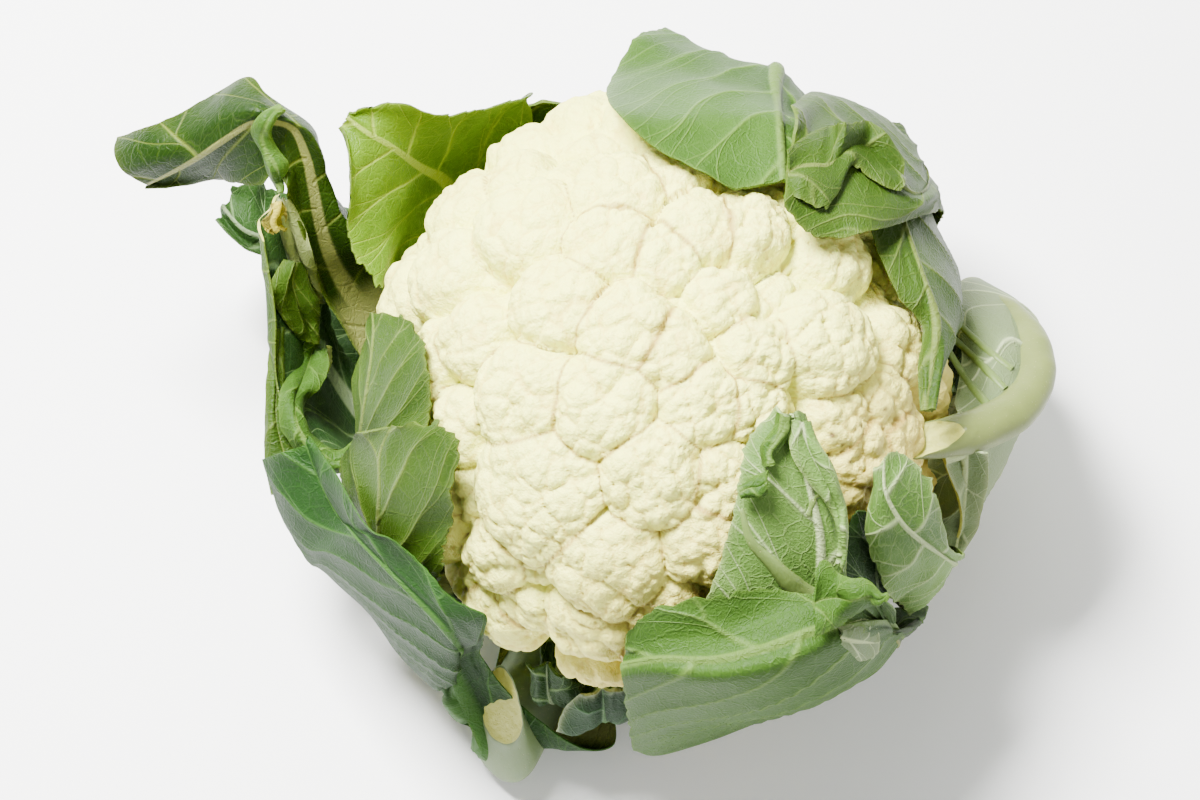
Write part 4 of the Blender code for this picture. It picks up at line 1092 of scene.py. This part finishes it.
leafUprightRight = {
    "node": "leaf_upright_right", "root": (-52, 25), "stem": (10, 7), "tip": (2, 1.2), "bulge": (1, 2),
    "wave": (0.8, 6), "teeth": (0.8, 0), "curl": (60, 0), "rows": (
        (on(50, -62, 3), on(55, -58, 3), on(17, -60, 2)),
        (on(51, -50, 4), on(58, -50, 4), on(22, -49, 2)),
        (on(51, -38, 5), on(58, -38, 5), on(26, -35, 2)),
        (on(48, -26, 5), on(57, -27, 4), on(28, -22, 2)),
        (on(45, -15, 4), on(52, -15, 3), on(31, -12, 2)),
        (on(43, -5, 3), on(47, -5, 2), on(39, -4, 2))),
    # its under face takes the lighter copy of underGreen: painted light
    "veins": (20.0, 1.1, 1.6), "ribTip": (1.2, 0.8), "fineness": (138, 32), "under": "underGreenLit",
}
uprightSheet = makeLeaf(leafUprightRight)

uprightMargin = {
    "name": "uprightMargin", "node": "leaf_upright_right", "over": uprightSheet, "rows": (
        ((46, -8.5, 4), (43, -7.5, 2.5), (49, -8.5, 1.5)),
        ((48.5, -14.5, 4), (43.5, -16, 2.5), (52.5, -15, 1.5)),
        ((51.5, -21, 4), (46.5, -22.5, 2.5), (56, -20.5, 1.5)),
        ((55, -27.5, 4), (51, -28.5, 2.5), (58.5, -27.5, 1.5)),
        ((57.5, -34, 4), (54.5, -33.5, 2.5), (60.5, -33.5, 1.5)),
        ((59.5, -40.5, 4), (58, -40.5, 2.5), (61, -40, 1.5)),
        ((59.5, -47, 4), (58.5, -47, 2.5), (60.5, -47, 1.5)),
        ((57.5, -52, 4), (56.5, -51.5, 2.5), (58.5, -53, 1.5))),
    # its under face takes the lighter copy of underGreen: painted light
    "bulge": (1, 1.5), "veins": (12.0, 1.2, 0.9), "under": "underGreenLit", "tooth": 1.0, "fineness": (76, 11),
}
makeFlap(uprightMargin)

uprightCurl = {
    "name": "uprightCurl", "node": "leaf_upright_right", "over": uprightSheet, "rows": (
        ((28, -29.5, 4.5), (29, -31, 3), (28.5, -28, 3)),
        ((31, -28, 4.5), (32, -31, 3), (31.5, -25, 3)),
        ((34, -27.5, 4.5), (35, -31, 3), (34.5, -23.5, 3)),
        ((37, -26, 4.5), (37, -29.5, 3), (37, -22.5, 3))),
    "bulge": (1.5, 1), "veins": (6.0, 1.2, 0.8), "under": "underPale", "fineness": (48, 14),
}
makeFlap(uprightCurl)

uprightCrumple = {
    "name": "uprightCrumple", "node": "leaf_upright_right", "over": uprightSheet, "rows": (
        ((42, -6.5, 3.5), (40, -5, 1.5), (44, -6.5, 2)),
        ((41.5, -10, 3.5), (39.5, -9.5, 1.5), (43, -10, 2)),
        ((39.5, -13.5, 3.5), (37, -13, 1.5), (41, -14.5, 2)),
        ((37, -17.5, 3.5), (35, -16, 1.5), (38.5, -18.5, 2)),
        ((37.5, -21.5, 3.5), (35.5, -21.5, 1.5), (39, -21.5, 2))),
    "bulge": (1, 1), "veins": (7.0, 1.0, 0.8), "under": "underPale", "tooth": 1.2,
}
makeFlap(uprightCrumple)

leafInnerFront = {
    "node": "leaf_inner_front", "root": (-92, 25), "stem": (8, 5), "tip": (2, 0.8), "bulge": (2, 2),
    "wave": (0.8, 4), "teeth": (0, 0), "rows": (
        (at(-12, -95, 38), at(-2, -95, 40), at(-25, -95, 40)),
        (at(-12, -89, 48), at(-2, -90, 49), at(-23, -89, 49)),
        (at(-12, -82, 57), at(-5, -83, 58), at(-18, -83, 57))),
    "veins": (12.0, 0.8, 1.0), "tooth": 0.4, "fineness": (82, 18), "upper": "upperDark", "under": "innerBlue",
}
makeLeaf(leafInnerFront)

leafTop = {
    "node": "leaf_top", "root": (72, 37), "stem": (11, 7), "tip": (1.5, 1.0), "bulge": (-2, 1),
    "wave": (1.2, 6), "teeth": (1.2, 0.6), "rows": (
        bent(97, 70, 66, 20),
        (at(39, 97, 104), at(5, 108, 84), at(49, 88, 94)),
        (at(38, 91, 115), at(-3, 101, 95), at(52, 84, 104)),
        (at(38, 85, 122), at(-8, 88, 104), at(54, 79, 112)),
        (on(39, 79, 5), on(-6, 75, 3), on(55, 74, 5)),
        (on(40, 72, 4), on(5, 70, 2), on(50, 67, 4)),
        (on(41, 63, 2), on(24, 60, 1), on(46, 60, 2))),
    "veins": (19.0, 0.8, 1.5), "tooth": 0.8, "ruffle": 1.6, "fineness": (148, 32), "ribTip": (1.4, 1.0),
    "under": "underPale",
}
makeLeaf(leafTop)

leafCutRight = {
    "node": "leaf_cut_right", "root": (2, 13), "stem": (11, 9), "tip": (8, 7), "bulge": (8, 4),
    "wave": (0.5, 5), "teeth": (0, 0), "rows": (
        (at(116, 9, 48), at(101, 34, 40), at(106, -14, 40)),
        (at(117, 8, 70), at(94, 34, 62), at(103, -20, 46)),
        (at(111, 0, 87), at(86, 26, 77), at(97, -34, 42)),
        (at(102, -8, 95), at(82, 17, 79), at(91, -40, 40)),
        (at(93, -13, 98), at(81, 7, 83), at(86, -44, 36)),
        (at(84, -15, 99), at(78, -2, 88), at(82, -46, 36))),
    "veins": (34.0, 1.0, 2.2), "tooth": 0.2, "ruffle": 0.2, "pucker": 0.2, "fineness": (138, 30),
    "ribTip": (6.0, 3.0), "ridge": 0.6,
    "under": "underGrey", "cutTip": True,
}
cutRightSheet = makeLeaf(leafCutRight)

cutWing = {
    "name": "cutWing", "node": "leaf_cut_right", "over": cutRightSheet, "rows": (
        ((96, -16, -1), (85, -16, -2), (103, -17, -2)),
        ((96, -25, -1), (85, -25, -2), (103, -26, -2)),
        ((95.5, -34, -1), (86.5, -34, -2), (101, -35, -2)),
        ((94, -43, -1), (88, -43, -2), (98, -43.5, -2)),
        ((92.5, -49, -1), (91.5, -49, -2), (94, -49.5, -2))),
    "veins": (22.0, 1.0, 1.2), "under": "underGrey", "tooth": 0.2, "ruffle": 0.2,
}
makeFlap(cutWing)

leafSideRight = {
    "node": "leaf_side_right", "root": (24, 25), "stem": (10, 6), "tip": (1.6, 1.0), "bulge": (1, 3),
    "wave": (0.8, 6), "teeth": (0, 0.8), "liesBy": ("leaf_cut_right",), "rows": (
        bent(98, 28, 56, 18),
        (at(66, 72, 90), at(57, 80, 96), at(71, 72, 80)),
        (on(74, 63, 4), on(63, 65, 2), at(79, 63, 94)),
        (on(77, 51, 5), on(68, 48, 2), at(87, 51, 92)),
        (on(82, 37, 6), on(75, 31, 2), at(93, 39, 92)),
        (on(87, 23, 7), on(82, 21, 2), at(95, 26, 91)),
        (on(86, 9, 7), on(82.5, 8, 4), on(89, 9.5, 6)),
        (on(84, -5, 7), on(83.2, -5, 6.5), on(84.8, -5, 7))),
    "veins": (20.0, 1.1, 1.4), "tooth": 0.6, "fineness": (148, 26),
}
makeLeaf(leafSideRight)

leafTopRight = {
    "node": "leaf_top_right", "root": (50, 13), "stem": (11, 7), "tip": (1.6, 1.0), "bulge": (2, 2),
    "wave": (1.2, 6), "teeth": (1.0, 1.2), "rows": (
        bent(108, 50, 62, 15),
        (on(71, 62, 9), at(67, 77, 90), on(69, 49, 8)),
        (on(62, 70, 9), at(55, 79, 100), on(61, 47, 6)),
        (on(52, 73, 8), at(45, 82, 106), on(50, 48, 5)),
        (on(42, 71, 7), on(41, 79, 8), on(40, 55, 5))),
    "veins": (17.0, 0.8, 1.3), "tooth": 1.0, "ruffle": 1.8, "fineness": (148, 30),
}
topRightSheet = makeLeaf(leafTopRight)

topTongue = {
    "name": "topTongue", "node": "leaf_top_right", "over": topRightSheet, "rows": (
        ((42.5, 67, 2.5), (41.5, 59.5, 2), (42.5, 73.5, 1)),
        ((46.5, 68, 2.5), (46, 59, 2), (47, 77, 1)),
        ((50.5, 68.5, 2.5), (50.5, 56.5, 2), (52, 79.5, 1)),
        ((54.5, 68.5, 2.5), (53.5, 55.5, 2), (56, 80.5, 1)),
        ((58, 71.5, 2.5), (57.5, 60.5, 2), (59, 82, 1)),
        ((61.5, 74.5, 2.5), (61, 68, 2), (62.5, 82, 1)),
        ((66.5, 74, 2.5), (65.5, 66.5, 2), (67, 82, 1)),
        ((72.5, 69.5, 2.5), (71.5, 62.5, 2), (72.5, 78.5, 1)),
        ((77.5, 65, 2.5), (76.5, 61, 2), (77, 71, 1))),
    "bulge": (1.5, 1), "veins": (15.0, 1.0, 1.2), "fineness": (76, 15), "tooth": 0.7,
}
makeFlap(topTongue)

leafBack = {
    "node": "leaf_back", "root": (108, 25), "stem": (11, 7), "tip": (3, 2), "bulge": (3, 3),
    "wave": (1.4, 6), "teeth": (0, 0), "rows": (
        bent(96, 112, 46, 16), bent(103, 112, 60, 15), bent(103, 112, 72, 11)),
    "fineness": (102, 26),
}
makeLeaf(leafBack)

leafLeftBroken = {
    "node": "leaf_left_broken", "root": (-174, 13), "stem": (11, 8), "tip": (4, 3), "bulge": (4, 1),
    "wave": (0.6, 4), "teeth": (0, 0), "rows": (
        (at(-97, 12, 43), at(-93, -16, 60), at(-94, 22, 47)),
        (at(-100, 22, 58), at(-99, -16, 66), at(-96, 32, 62)),
        (at(-102, 31, 72), at(-105, -10, 71), at(-99, 39, 74)),
        (at(-106, 39, 82), at(-110, 2, 76), at(-103, 45, 83)),
        (at(-108, 46, 90), at(-111, 18, 82), at(-106, 49, 91)),
        (at(-110, 52, 97), at(-112, 34, 90), at(-107, 55, 98)),
        (at(-112, 56, 102), at(-114, 46, 97), at(-109, 60, 104))),
    "veins": (17.0, 0.9, 1.3), "tooth": 0.5, "ruffle": 0.4, "pucker": 0.3, "fineness": (138, 30),
    "upper": "upperDark", "under": "underGreen", "cutTip": True,
}
brokenSheet = makeLeaf(leafLeftBroken)

brokenBlade = {
    "name": "brokenBlade", "node": "leaf_left_broken", "over": brokenSheet, "rows": (
        ((-105.5, 40, 3), (-108.5, 40.5, 1.5), (-102.5, 40, 1.5)),
        ((-106.5, 33.5, 3), (-113, 32.5, 1.5), (-100, 33.5, 1.5)),
        ((-104.5, 27.5, 3), (-111, 26.5, 1.5), (-98, 27.5, 1.5)),
        ((-102, 21.5, 3), (-107, 20.5, 1.5), (-97.5, 21.5, 1.5)),
        ((-101, 15.5, 3), (-103.5, 16.5, 1.5), (-98, 15.5, 1.5))),
    "bulge": (1.5, 1.5), "veins": (6.0, 2.0, 0.7), "even": 1.5,
}
makeFlap(brokenBlade)

brokenStem = {
    "name": "brokenStem", "node": "leaf_left_broken", "over": brokenSheet, "rows": (
        ((-108.5, 59.5, 3), (-110, 59.5, 0.5), (-107, 59.5, 0.5)),
        ((-107.5, 54.5, 3), (-110.5, 54.5, 0.5), (-104.5, 55, 0.5)),
        ((-105.5, 48, 3), (-109, 47.5, 0.5), (-101.5, 48.5, 0.5)),
        ((-103, 41, 3), (-107, 41, 0.5), (-99.5, 41.5, 0.5)),
        ((-101, 34.5, 3), (-104, 34, 0.5), (-97.5, 35, 0.5)),
        ((-98.5, 28, 3), (-99.5, 28, 0.5), (-97, 28, 0.5))),
    "bulge": (1.5, 1.5), "veins": (5.0, 3.0, 0.7), "under": "stemPale",
}
makeFlap(brokenStem)

brokenFlesh = {
    "name": "brokenFlesh", "node": "leaf_left_broken", "over": brokenSheet, "rows": (
        ((-110, 58, 5.5), (-112, 57.5, 4), (-108.5, 58.5, 4.5)),
        ((-110.5, 55, 5.5), (-113.5, 54.5, 4), (-107.5, 55.5, 4.5)),
        ((-111.5, 52, 5.5), (-115, 52, 4), (-107.5, 52.5, 4.5)),
        ((-110.5, 49.5, 5.5), (-113.5, 49, 4), (-107.5, 50, 4.5)),
        ((-109.5, 48.5, 5.5), (-110.5, 48, 4), (-108.5, 48.5, 4.5))),
    "tooth": 2.0, "ruffle": 0.8, "pucker": 1.0, "under": "fleshYellow",
}
makeFlap(brokenFlesh)

brokenLip = {
    "name": "brokenLip", "node": "leaf_left_broken", "over": brokenSheet, "rows": (
        ((-100, 17, 5), (-102.5, 16.5, 1.5), (-97, 15.5, 3)),
        ((-100.5, 10.5, 5), (-105, 10, 1.5), (-95, 11, 3)),
        ((-103.5, 3, 5), (-109, 2, 1.5), (-98, 1.5, 3)),
        ((-106, -3, 5), (-110, -4, 1.5), (-102.5, -3.5, 3)),
        ((-104.5, -10, 5), (-108.5, -11.5, 1.5), (-101, -10.5, 3)),
        ((-99.5, -16.5, 5), (-102.5, -19, 1.5), (-97.5, -14, 3)),
        ((-92, -20, 5), (-94, -23.5, 1.5), (-92, -17, 3)),
        ((-86, -17, 5), (-84, -20.5, 1.5), (-88, -14.5, 3)),
        ((-80, -11, 5), (-77.5, -13.5, 1.5), (-82, -8.5, 3))),
    "bulge": (2, 1.5), "veins": (12.0, 1.4, 0.9), "fineness": (80, 10), "tooth": 0.9,
    "under": "underPale", "upper": "underGreen",
}
makeFlap(brokenLip)

brokenTip = {
    "name": "brokenTip", "node": "leaf_left_broken", "over": brokenSheet, "rows": (
        ((-95.5, 15, 5.5), (-97.5, 14.5, 5), (-94, 14.5, 4.5)),
        ((-95.5, 12.5, 5.5), (-97, 11.5, 5), (-94, 12.5, 4.5)),
        ((-95.5, 9.5, 5.5), (-97, 9.5, 5), (-94, 9.5, 4.5)),
        ((-95.5, 7, 5.5), (-96.5, 7, 5), (-95, 7, 4.5))),
    "under": "fleshPale", "fineness": (30, 10),
}
makeFlap(brokenTip)

brokenSkin = {
    "name": "brokenSkin", "node": "leaf_left_broken", "over": brokenSheet, "rows": (
        ((-110.5, 20, -2), (-112, 19.5, -3), (-109, 20, -4)),
        ((-111.5, 6, -2), (-113.5, 5, -3), (-108.5, 6, -4)),
        ((-111, -7, -2), (-113.8, -8, -3), (-108, -7, -4)),
        ((-108, -19, -2), (-114, -20, -3), (-101, -18, -4)),
        ((-104, -29, -2), (-112, -30, -3), (-92, -28, -4))),
    "bulge": (1.5, 1), "veins": (16.0, 1.2, 0.9), "tooth": 0.3, "even": 2.0,
}
makeFlap(brokenSkin)

leafFlopped = {
    "node": "leaf_flopped", "root": (163, 25), "stem": (11, 8), "tip": (1.4, 1.6), "bulge": (2, -5),
    "wave": (2.0, 7), "teeth": (0, 0.6), "liesBy": ("leaf_left_broken",), "rows": (
        (at(-88, 30, 60), at(-93, 24, 62), at(-80, 38, 62)),
        (at(-95, 46, 85), at(-100, 42, 86), at(-86, 52, 84)),
        (at(-98, 66, 107), at(-107, 60, 108), at(-91, 66, 100)),
        (at(-104, 79, 121), at(-111, 67, 113), at(-94, 76, 112)),
        (at(-115, 81, 124), at(-115, 63, 108), at(-108, 87, 120)),
        (at(-132, 72, 113), at(-129, 64, 98), at(-124, 94, 118)),
        (at(-141, 67, 104), at(-139, 63, 95), at(-141, 82, 112)),
        (at(-145, 65, 99), at(-145, 62, 94), at(-157, 86, 105)),
        (at(-149, 63, 95), at(-150, 62, 92), at(-160, 77, 101))),
    "veins": (19.0, 0.8, 1.1), "tooth": 0.4, "fineness": (138, 26), "ribTip": (1.2, 0.8), "ribFall": 3.6,
    "stemTone": (0.26, 0.44),
}
floppedSheet = makeLeaf(leafFlopped)

floppedTwist = {
    "name": "floppedTwist", "node": "leaf_flopped", "over": floppedSheet, "rows": (
        ((-109, 85.5, 5), (-110, 86, 3), (-108.5, 85, 3)),
        ((-113, 82, 5), (-116, 83, 3), (-111, 83, 3)),
        ((-115, 78.5, 5), (-118, 79, 3), (-112.5, 79, 3)),
        ((-113.5, 73.5, 5), (-115, 73, 3), (-110.5, 74, 3)),
        ((-110.5, 68.5, 5), (-113.5, 67.5, 3), (-107, 69.5, 3)),
        ((-110, 64, 5), (-111.5, 63.5, 3), (-108.5, 64, 3)),
        ((-110, 60.5, 5), (-110, 61, 3), (-109, 60.5, 3))),
    "bulge": (1, 1), "veins": (8.0, 2.0, 0.8), "under": "underPale",
}
makeFlap(floppedTwist)

leafLowerRight = {
    "node": "leaf_lower_right", "root": (-46, 13), "stem": (10, 8), "tip": (2, 1.4), "bulge": (1, 0),
    "wave": (1.2, 7), "teeth": (1.0, 0.8), "rows": (
        (at(60, -60, 58), on(64, -54, 12), at(63, -54, 42)),
        (on(44, -62, 8), on(46, -56, 8), at(52, -58, 44)),
        (on(29, -69, 8), on(30, -56, 5), at(34, -69, 44)),
        (on(14, -74, 8), on(14, -58, 4), at(18, -82, 45)),
        (on(2, -75, 7), on(0, -62, 3), at(3, -96, 47)),
        (on(-6, -78, 5), on(-5, -69, 3), at(-3, -96, 46))),
    "veins": (18.0, 1.2, 1.6), "fineness": (156, 32), "ribTip": (1.4, 1.0),
    "under": "underPale",
}
lowerSheet = makeLeaf(leafLowerRight)

lowerLobe = {
    "name": "lowerLobe", "node": "leaf_lower_right", "over": lowerSheet, "rows": (
        ((23, -61, 4), (21.5, -59.5, 2), (23.5, -62, 2.5)),
        ((18, -59, 4), (17, -54.5, 2), (20, -65, 2.5)),
        ((13.5, -57.5, 4), (14, -51, 2), (15, -67, 2.5)),
        ((8, -57.5, 4), (8.5, -51.5, 2), (9, -68.5, 2.5)),
        ((3, -59, 4), (4, -55, 2), (3.5, -68.5, 2.5)),
        ((-0.5, -62.5, 4), (0.5, -59.5, 2), (-0.5, -67, 2.5))),
    "bulge": (1.5, 1), "veins": (11.0, 1.0, 1.0), "fineness": (50, 13),
}
makeFlap(lowerLobe)

lowerTorn = {
    "name": "lowerTorn", "node": "leaf_lower_right", "over": lowerSheet, "rows": (
        ((50, -62.5, 5), (50.5, -73.5, 4), (50.5, -53.5, 4)),
        ((53, -61.5, 5), (53, -71.5, 4), (52.5, -49.5, 4)),
        ((58, -61, 5), (58, -69.5, 4), (58, -53.5, 4)),
        ((63, -61, 5), (63.5, -65.5, 4), (62.5, -55, 4)),
        ((68, -59.5, 5), (68.5, -63, 4), (67, -55.5, 4)),
        ((72.5, -61.5, 5), (72.5, -62, 4), (71.5, -60.5, 4))),
    "bulge": (1.5, 1.5), "veins": (13.0, 1.0, 1.0), "under": "underPale", "tooth": 1.2, "fineness": (50, 13),
}
makeFlap(lowerTorn)

lowerRoundLobe = {
    "name": "lowerRoundLobe", "node": "leaf_lower_right", "over": lowerSheet, "rows": (
        ((58, -72.5, -1), (57.5, -75, -3), (58, -69.5, 0)),
        ((62.5, -73.5, -1), (61, -78.5, -3), (62, -68, 0)),
        ((66.5, -74, -1), (65.5, -80, -3), (66.5, -67, 0)),
        ((69.5, -74, -1), (68.5, -78, -3), (69.5, -70, 0))),
    "bulge": (1, 1), "veins": (10.0, 1.0, 0.8), "under": "underGrey", "tooth": 0.2,
}
makeFlap(lowerRoundLobe)

leafCutFront = {
    "node": "leaf_cut_front", "root": (-118, 13), "stem": (13, 9), "tip": (2, 1.2), "bulge": (1, 3),
    "wave": (1.2, 6), "teeth": (0.8, 0), "rows": (
        (at(-45, -106, 12), at(-12, -102, 24), at(-50, -98, 20)),
        (at(-57, -84, 36), at(-43, -79, 46), at(-60, -87, 30)),
        (on(-61, -67, 10), on(-50, -64, 8), at(-66, -84, 36)),
        (on(-73, -55, 11), on(-61, -57, 8), at(-78, -72, 42)),
        (on(-84, -44, 13), on(-73, -45, 10), at(-92, -56, 48)),
        (on(-94, -34, 14), on(-86, -34, 12), at(-105, -44, 54)),
        (on(-102, -26, 16), on(-95, -22, 15), at(-112, -32, 62)),
        (on(-109, -16, 18), on(-103, -13, 17), at(-114, -19, 70))),
    "veins": (14.0, 1.6, 1.2), "tooth": 0.4, "ruffle": 0.8, "fineness": (156, 26),
    "under": "underBlue",
}
makeLeaf(leafCutFront)

leafLeftBack = {
    "node": "leaf_left_back", "root": (134, 13), "stem": (10, 7), "tip": (2, 1.2), "bulge": (3, 3),
    "wave": (1.2, 5), "teeth": (0, 0), "liesBy": ("leaf_flopped",), "rows": (
        bent(104, 146, 34, 14),
        (at(-113, 47, 44), at(-108, 41, 42), at(-112, 62, 46)),
        (at(-121, 50, 48), at(-120, 44, 46), at(-116, 63, 50)),
        (at(-127, 57, 50), at(-129, 53, 49), at(-124, 63, 52))),
    "fineness": (102, 24), "upper": "upperDark", "under": "upperDark",
}
makeLeaf(leafLeftBack)


# Ribs that stand up from a leaf beside its own middle rib

cordRules = {"steps": 40, "around": 12, "sunk": 0.25, "lift": 0.0, "fall": 0.8, "end": 0.3}
ribSkin = fleshFinish("paleRibSkin", "#566b2f", "#677c3c", 0.005, 0.02)


def faceAt(tree, across, up):
    face = tree.ray_cast(Vector(eye * mm), Vector(unit(aimAt(across, up) - eye)))[1]
    return sightBack if face is None else np.array(face) * (1 if face @ Vector(sightBack) > 0 else -1)


def makeCord(settings):
    # a rounded rib along these points, widest at the first, tapering to the last
    tree = faceTree(settings["over"])
    path = np.array(settings["points"], dtype=float)
    path = curveThrough(path, np.linspace(0, len(path) - 1, cordRules["steps"]))
    centres = np.array([upon(tree, across, up, cordRules["lift"]) for across, up in path])
    centre = middlePlace(centres)
    for place in range(len(centres)):
        centre = centres[place] = beside(centres[place], centre)
    ups = np.array([faceAt(tree, across, up) for across, up in path])
    for _ in range(4):
        centres[1:-1] = (centres[:-2] + 2 * centres[1:-1] + centres[2:]) / 4
        ups[1:-1] = (ups[:-2] + 2 * ups[1:-1] + ups[2:]) / 4
    sides = unit(np.cross(np.gradient(centres, axis=0), ups))
    turns = 2 * math.pi * np.arange(cordRules["around"]) / cordRules["around"]
    taper = np.linspace(0, 1, len(path)) ** cordRules["fall"]
    half = settings["wide"][0] + (settings["wide"][1] - settings["wide"][0]) * taper
    half[-1] *= cordRules["end"]
    rings = []
    for centre, side, up, reach in zip(centres, sides, unit(ups), half):
        rise = (np.sin(turns) - cordRules["sunk"]) * reach * settings["high"]
        rings.append(centre + np.outer(np.cos(turns) * reach, side) + np.outer(rise, up))
    mesh = tubeMesh(rings)[0]
    bmesh.ops.recalc_face_normals(mesh, faces=mesh.faces)
    addPiece(settings["name"], settings["node"], meshData(settings["name"], mesh, 60), (ribSkin,))


uprightFork = {
    "name": "uprightFork", "node": "leaf_upright_right", "over": uprightSheet,
    "wide": (4.0, 0.7), "high": 0.6,      # half width at both ends, and how high it stands for its width
    "points": ((49, -61), (43, -56), (37.5, -50), (31.5, -43.5), (29, -34)),
}
makeCord(uprightFork)
uprightSideRib = {
    "name": "uprightSideRib", "node": "leaf_upright_right", "over": uprightSheet,
    "wide": (1.1, 0.4), "high": 0.6,
    "points": ((49, -36), (51, -31), (54, -30)),
}
makeCord(uprightSideRib)
cutRidges = (                             # four strong side ribs of the cut leaf, from its stem to its edge
    ((110, 8), (101, 15), (93, 22.5)), ((108, 2), (100, 10), (91.5, 18)),
    ((103, -3), (97, 4), (91, 13.5)), ((95.5, -5), (92, 2), (90.5, 13)))
for number, points in enumerate(cutRidges):
    makeCord({"name": "cutRidge." + str(number), "node": "leaf_cut_right", "over": cutRightSheet,
              "wide": (1.6, 0.9), "high": 0.7, "points": points})
print("side ribs made")


# Cut stems: thick stumps of the front leaf and the right leaf, with cream cuts

frontStump = {
    "name": "frontStump", "node": "leaf_cut_front", "around": 72, "between": 12, "ragged": 0.15,
    "rings": (                            # top point, bottom point and half width, from the stalk to the cut
        (polar(46, -118, 20), polar(46, -118, 6), 9),
        (polar(66, -118, 22), polar(70, -118, 3), 12),
        (at(-41, -84, 34), at(-42, -115, 7), 11),
        (at(-43, -81, 43), at(-43, -105, 25), 8)),
    "turn": -118, "slant": 0.0,
}
rightStump = {
    "name": "rightStump", "node": "leaf_cut_right", "around": 72, "between": 12, "ragged": 0.7,
    "rings": (
        (at(98, 29.5, 60), at(99.5, 31.5, 60), 1.0), (at(105, 26.5, 66), at(110, 28, 66), 2.5),
        (at(109, 20, 73), at(118, 21, 73), 4.0), (at(110, 12, 80), at(122.5, 13, 80), 4.6),
        (at(109, 4, 86), at(122.5, 2, 86), 5.0), (at(104, -1.5, 92), at(116, -8.5, 92), 5.4),
        (at(97, -5, 98), at(104, -15.5, 98), 5.5), (at(89, -7, 103), at(93.5, -18, 103), 5.2),
        (at(82, -8.5, 107), at(83.5, -18.5, 107), 4.6)),
    "slant": 13.0,
}


def makeStump(settings):
    frames = [np.concatenate((top, bottom, (half, 0, 0))) for top, bottom, half in settings["rings"]]
    steps = len(frames) - 1
    frames = curveThrough(np.array(frames), np.linspace(0, steps, steps * settings["between"] + 1))
    turns = 2 * math.pi * np.arange(settings["around"]) / settings["around"]
    tangents = unit(np.gradient(frames[:, 0:3] + frames[:, 3:6], axis=0))
    if "turn" in settings:
        tangents[:] = polar(1, settings["turn"], 0)
    rings = []
    for place, (frameRow, tangent) in enumerate(zip(frames, tangents)):
        top, bottom, half = frameRow[0:3], frameRow[3:6], frameRow[6]
        middle, reach = (top + bottom) / 2, (top - bottom) / 2
        side = unit(np.cross(reach, tangent)) * half
        side = side if side @ sightBack > 0 else -side
        narrow = 1 - 0.3 * np.cos(turns) if "turn" in settings else 1.0
        slant = settings["slant"] * smoothStep(np.array(place / (len(frames) - 1)), 0.72, 1.0)
        points = middle + np.cos(turns)[:, None] * reach + (np.sin(turns) * narrow)[:, None] * side
        points = points - np.outer(np.sin(turns) * slant, tangent)
        rings.append(points + 0.25 * softNoise(points, 6.0, 3)[:, None] * unit(points - middle))
    rim = rings[-1]
    rim += settings["ragged"] * softNoise(rim, 2.2, 8)[:, None] * tangents[-1]
    centre = rim.mean(axis=0)
    face = unit(np.cross(rim[0] - centre, rim[len(rim) // 4] - centre))
    face = face if face @ sightBack > 0 else -face
    for inset, drop in stumpCut:
        ring = centre + (rim - centre) * inset - face * drop
        rings.append(ring + settings["ragged"] * softNoise(ring, 1.8, 9)[:, None] * face)
    mesh, foot, cap = tubeMesh(rings, len(frames))
    cap.material_index = 1
    bmesh.ops.recalc_face_normals(mesh, faces=mesh.faces)
    addPiece(settings["name"], settings["node"], meshData(settings["name"], mesh, 40),
             (settings["skin"], cutFlesh))


# rings of the cut face from its rim to its middle: part of the rim's radius, and how far it has shrunk in
stumpCut = ((0.94, 0.0), (0.88, 0.35), (0.74, 0.5), (0.56, 0.5), (0.38, 0.55), (0.2, 0.6))


frontStump["skin"] = fleshFinish("waxyStemSkin", "#55683f", "#64754b", 0.006, 0.02)
rightStump["skin"] = fleshFinish("yellowedStemSkin", "#5b672f", "#717c3f", 0.008, 0.02)
makeStump(frontStump)
makeStump(rightStump)
print("cut stems made")


# Plain pale floor and soft studio light

studio = {
    "floor": "#fcfcfa", "floorSize": 6.0,
    "lights": (                           # name, place, size and power of each soft light
        ("key", (-0.27, 0.22, 0.84), 0.3, 53.0),
        ("fill", (0.9, -0.6, 0.9), 0.9, 8.0),
        ("back", (0.1, 1.0, 0.8), 0.9, 9.0)),
    "sky": "#ffffff", "skyStrength": 0.6,
}


def makeStudio():
    mesh = bmesh.new()
    bmesh.ops.create_grid(mesh, x_segments=1, y_segments=1, size=studio["floorSize"] / 2)
    data = bpy.data.meshes.new("floor")
    mesh.to_mesh(data)
    mesh.free()
    floor = bpy.data.objects.new("floor", data)
    bpy.context.scene.collection.objects.link(floor)
    finish, tree, shader = newFinish("mattePaperFloor")    # seamless studio paper, without gloss
    setShader(tree, shader, {"Base Color": linearColour(studio["floor"]), "Roughness": 0.9}, {})
    data.materials.append(finish)
    for name, place, size, power in studio["lights"]:
        lamp = bpy.data.lights.new(name, "AREA")
        lamp.size = size
        lamp.energy = power
        light = bpy.data.objects.new(name, lamp)
        light.location = place
        light.rotation_euler = (Vector((0, 0, 0.08)) - Vector(place)).to_track_quat("-Z", "Y").to_euler()
        bpy.context.scene.collection.objects.link(light)
    world = bpy.data.worlds.new("studioAir")
    world.use_nodes = True
    air = world.node_tree.nodes["Background"]
    air.inputs["Color"].default_value = linearColour(studio["sky"])
    air.inputs["Strength"].default_value = studio["skyStrength"]
    bpy.context.scene.world = world


makeStudio()
print("studio made")
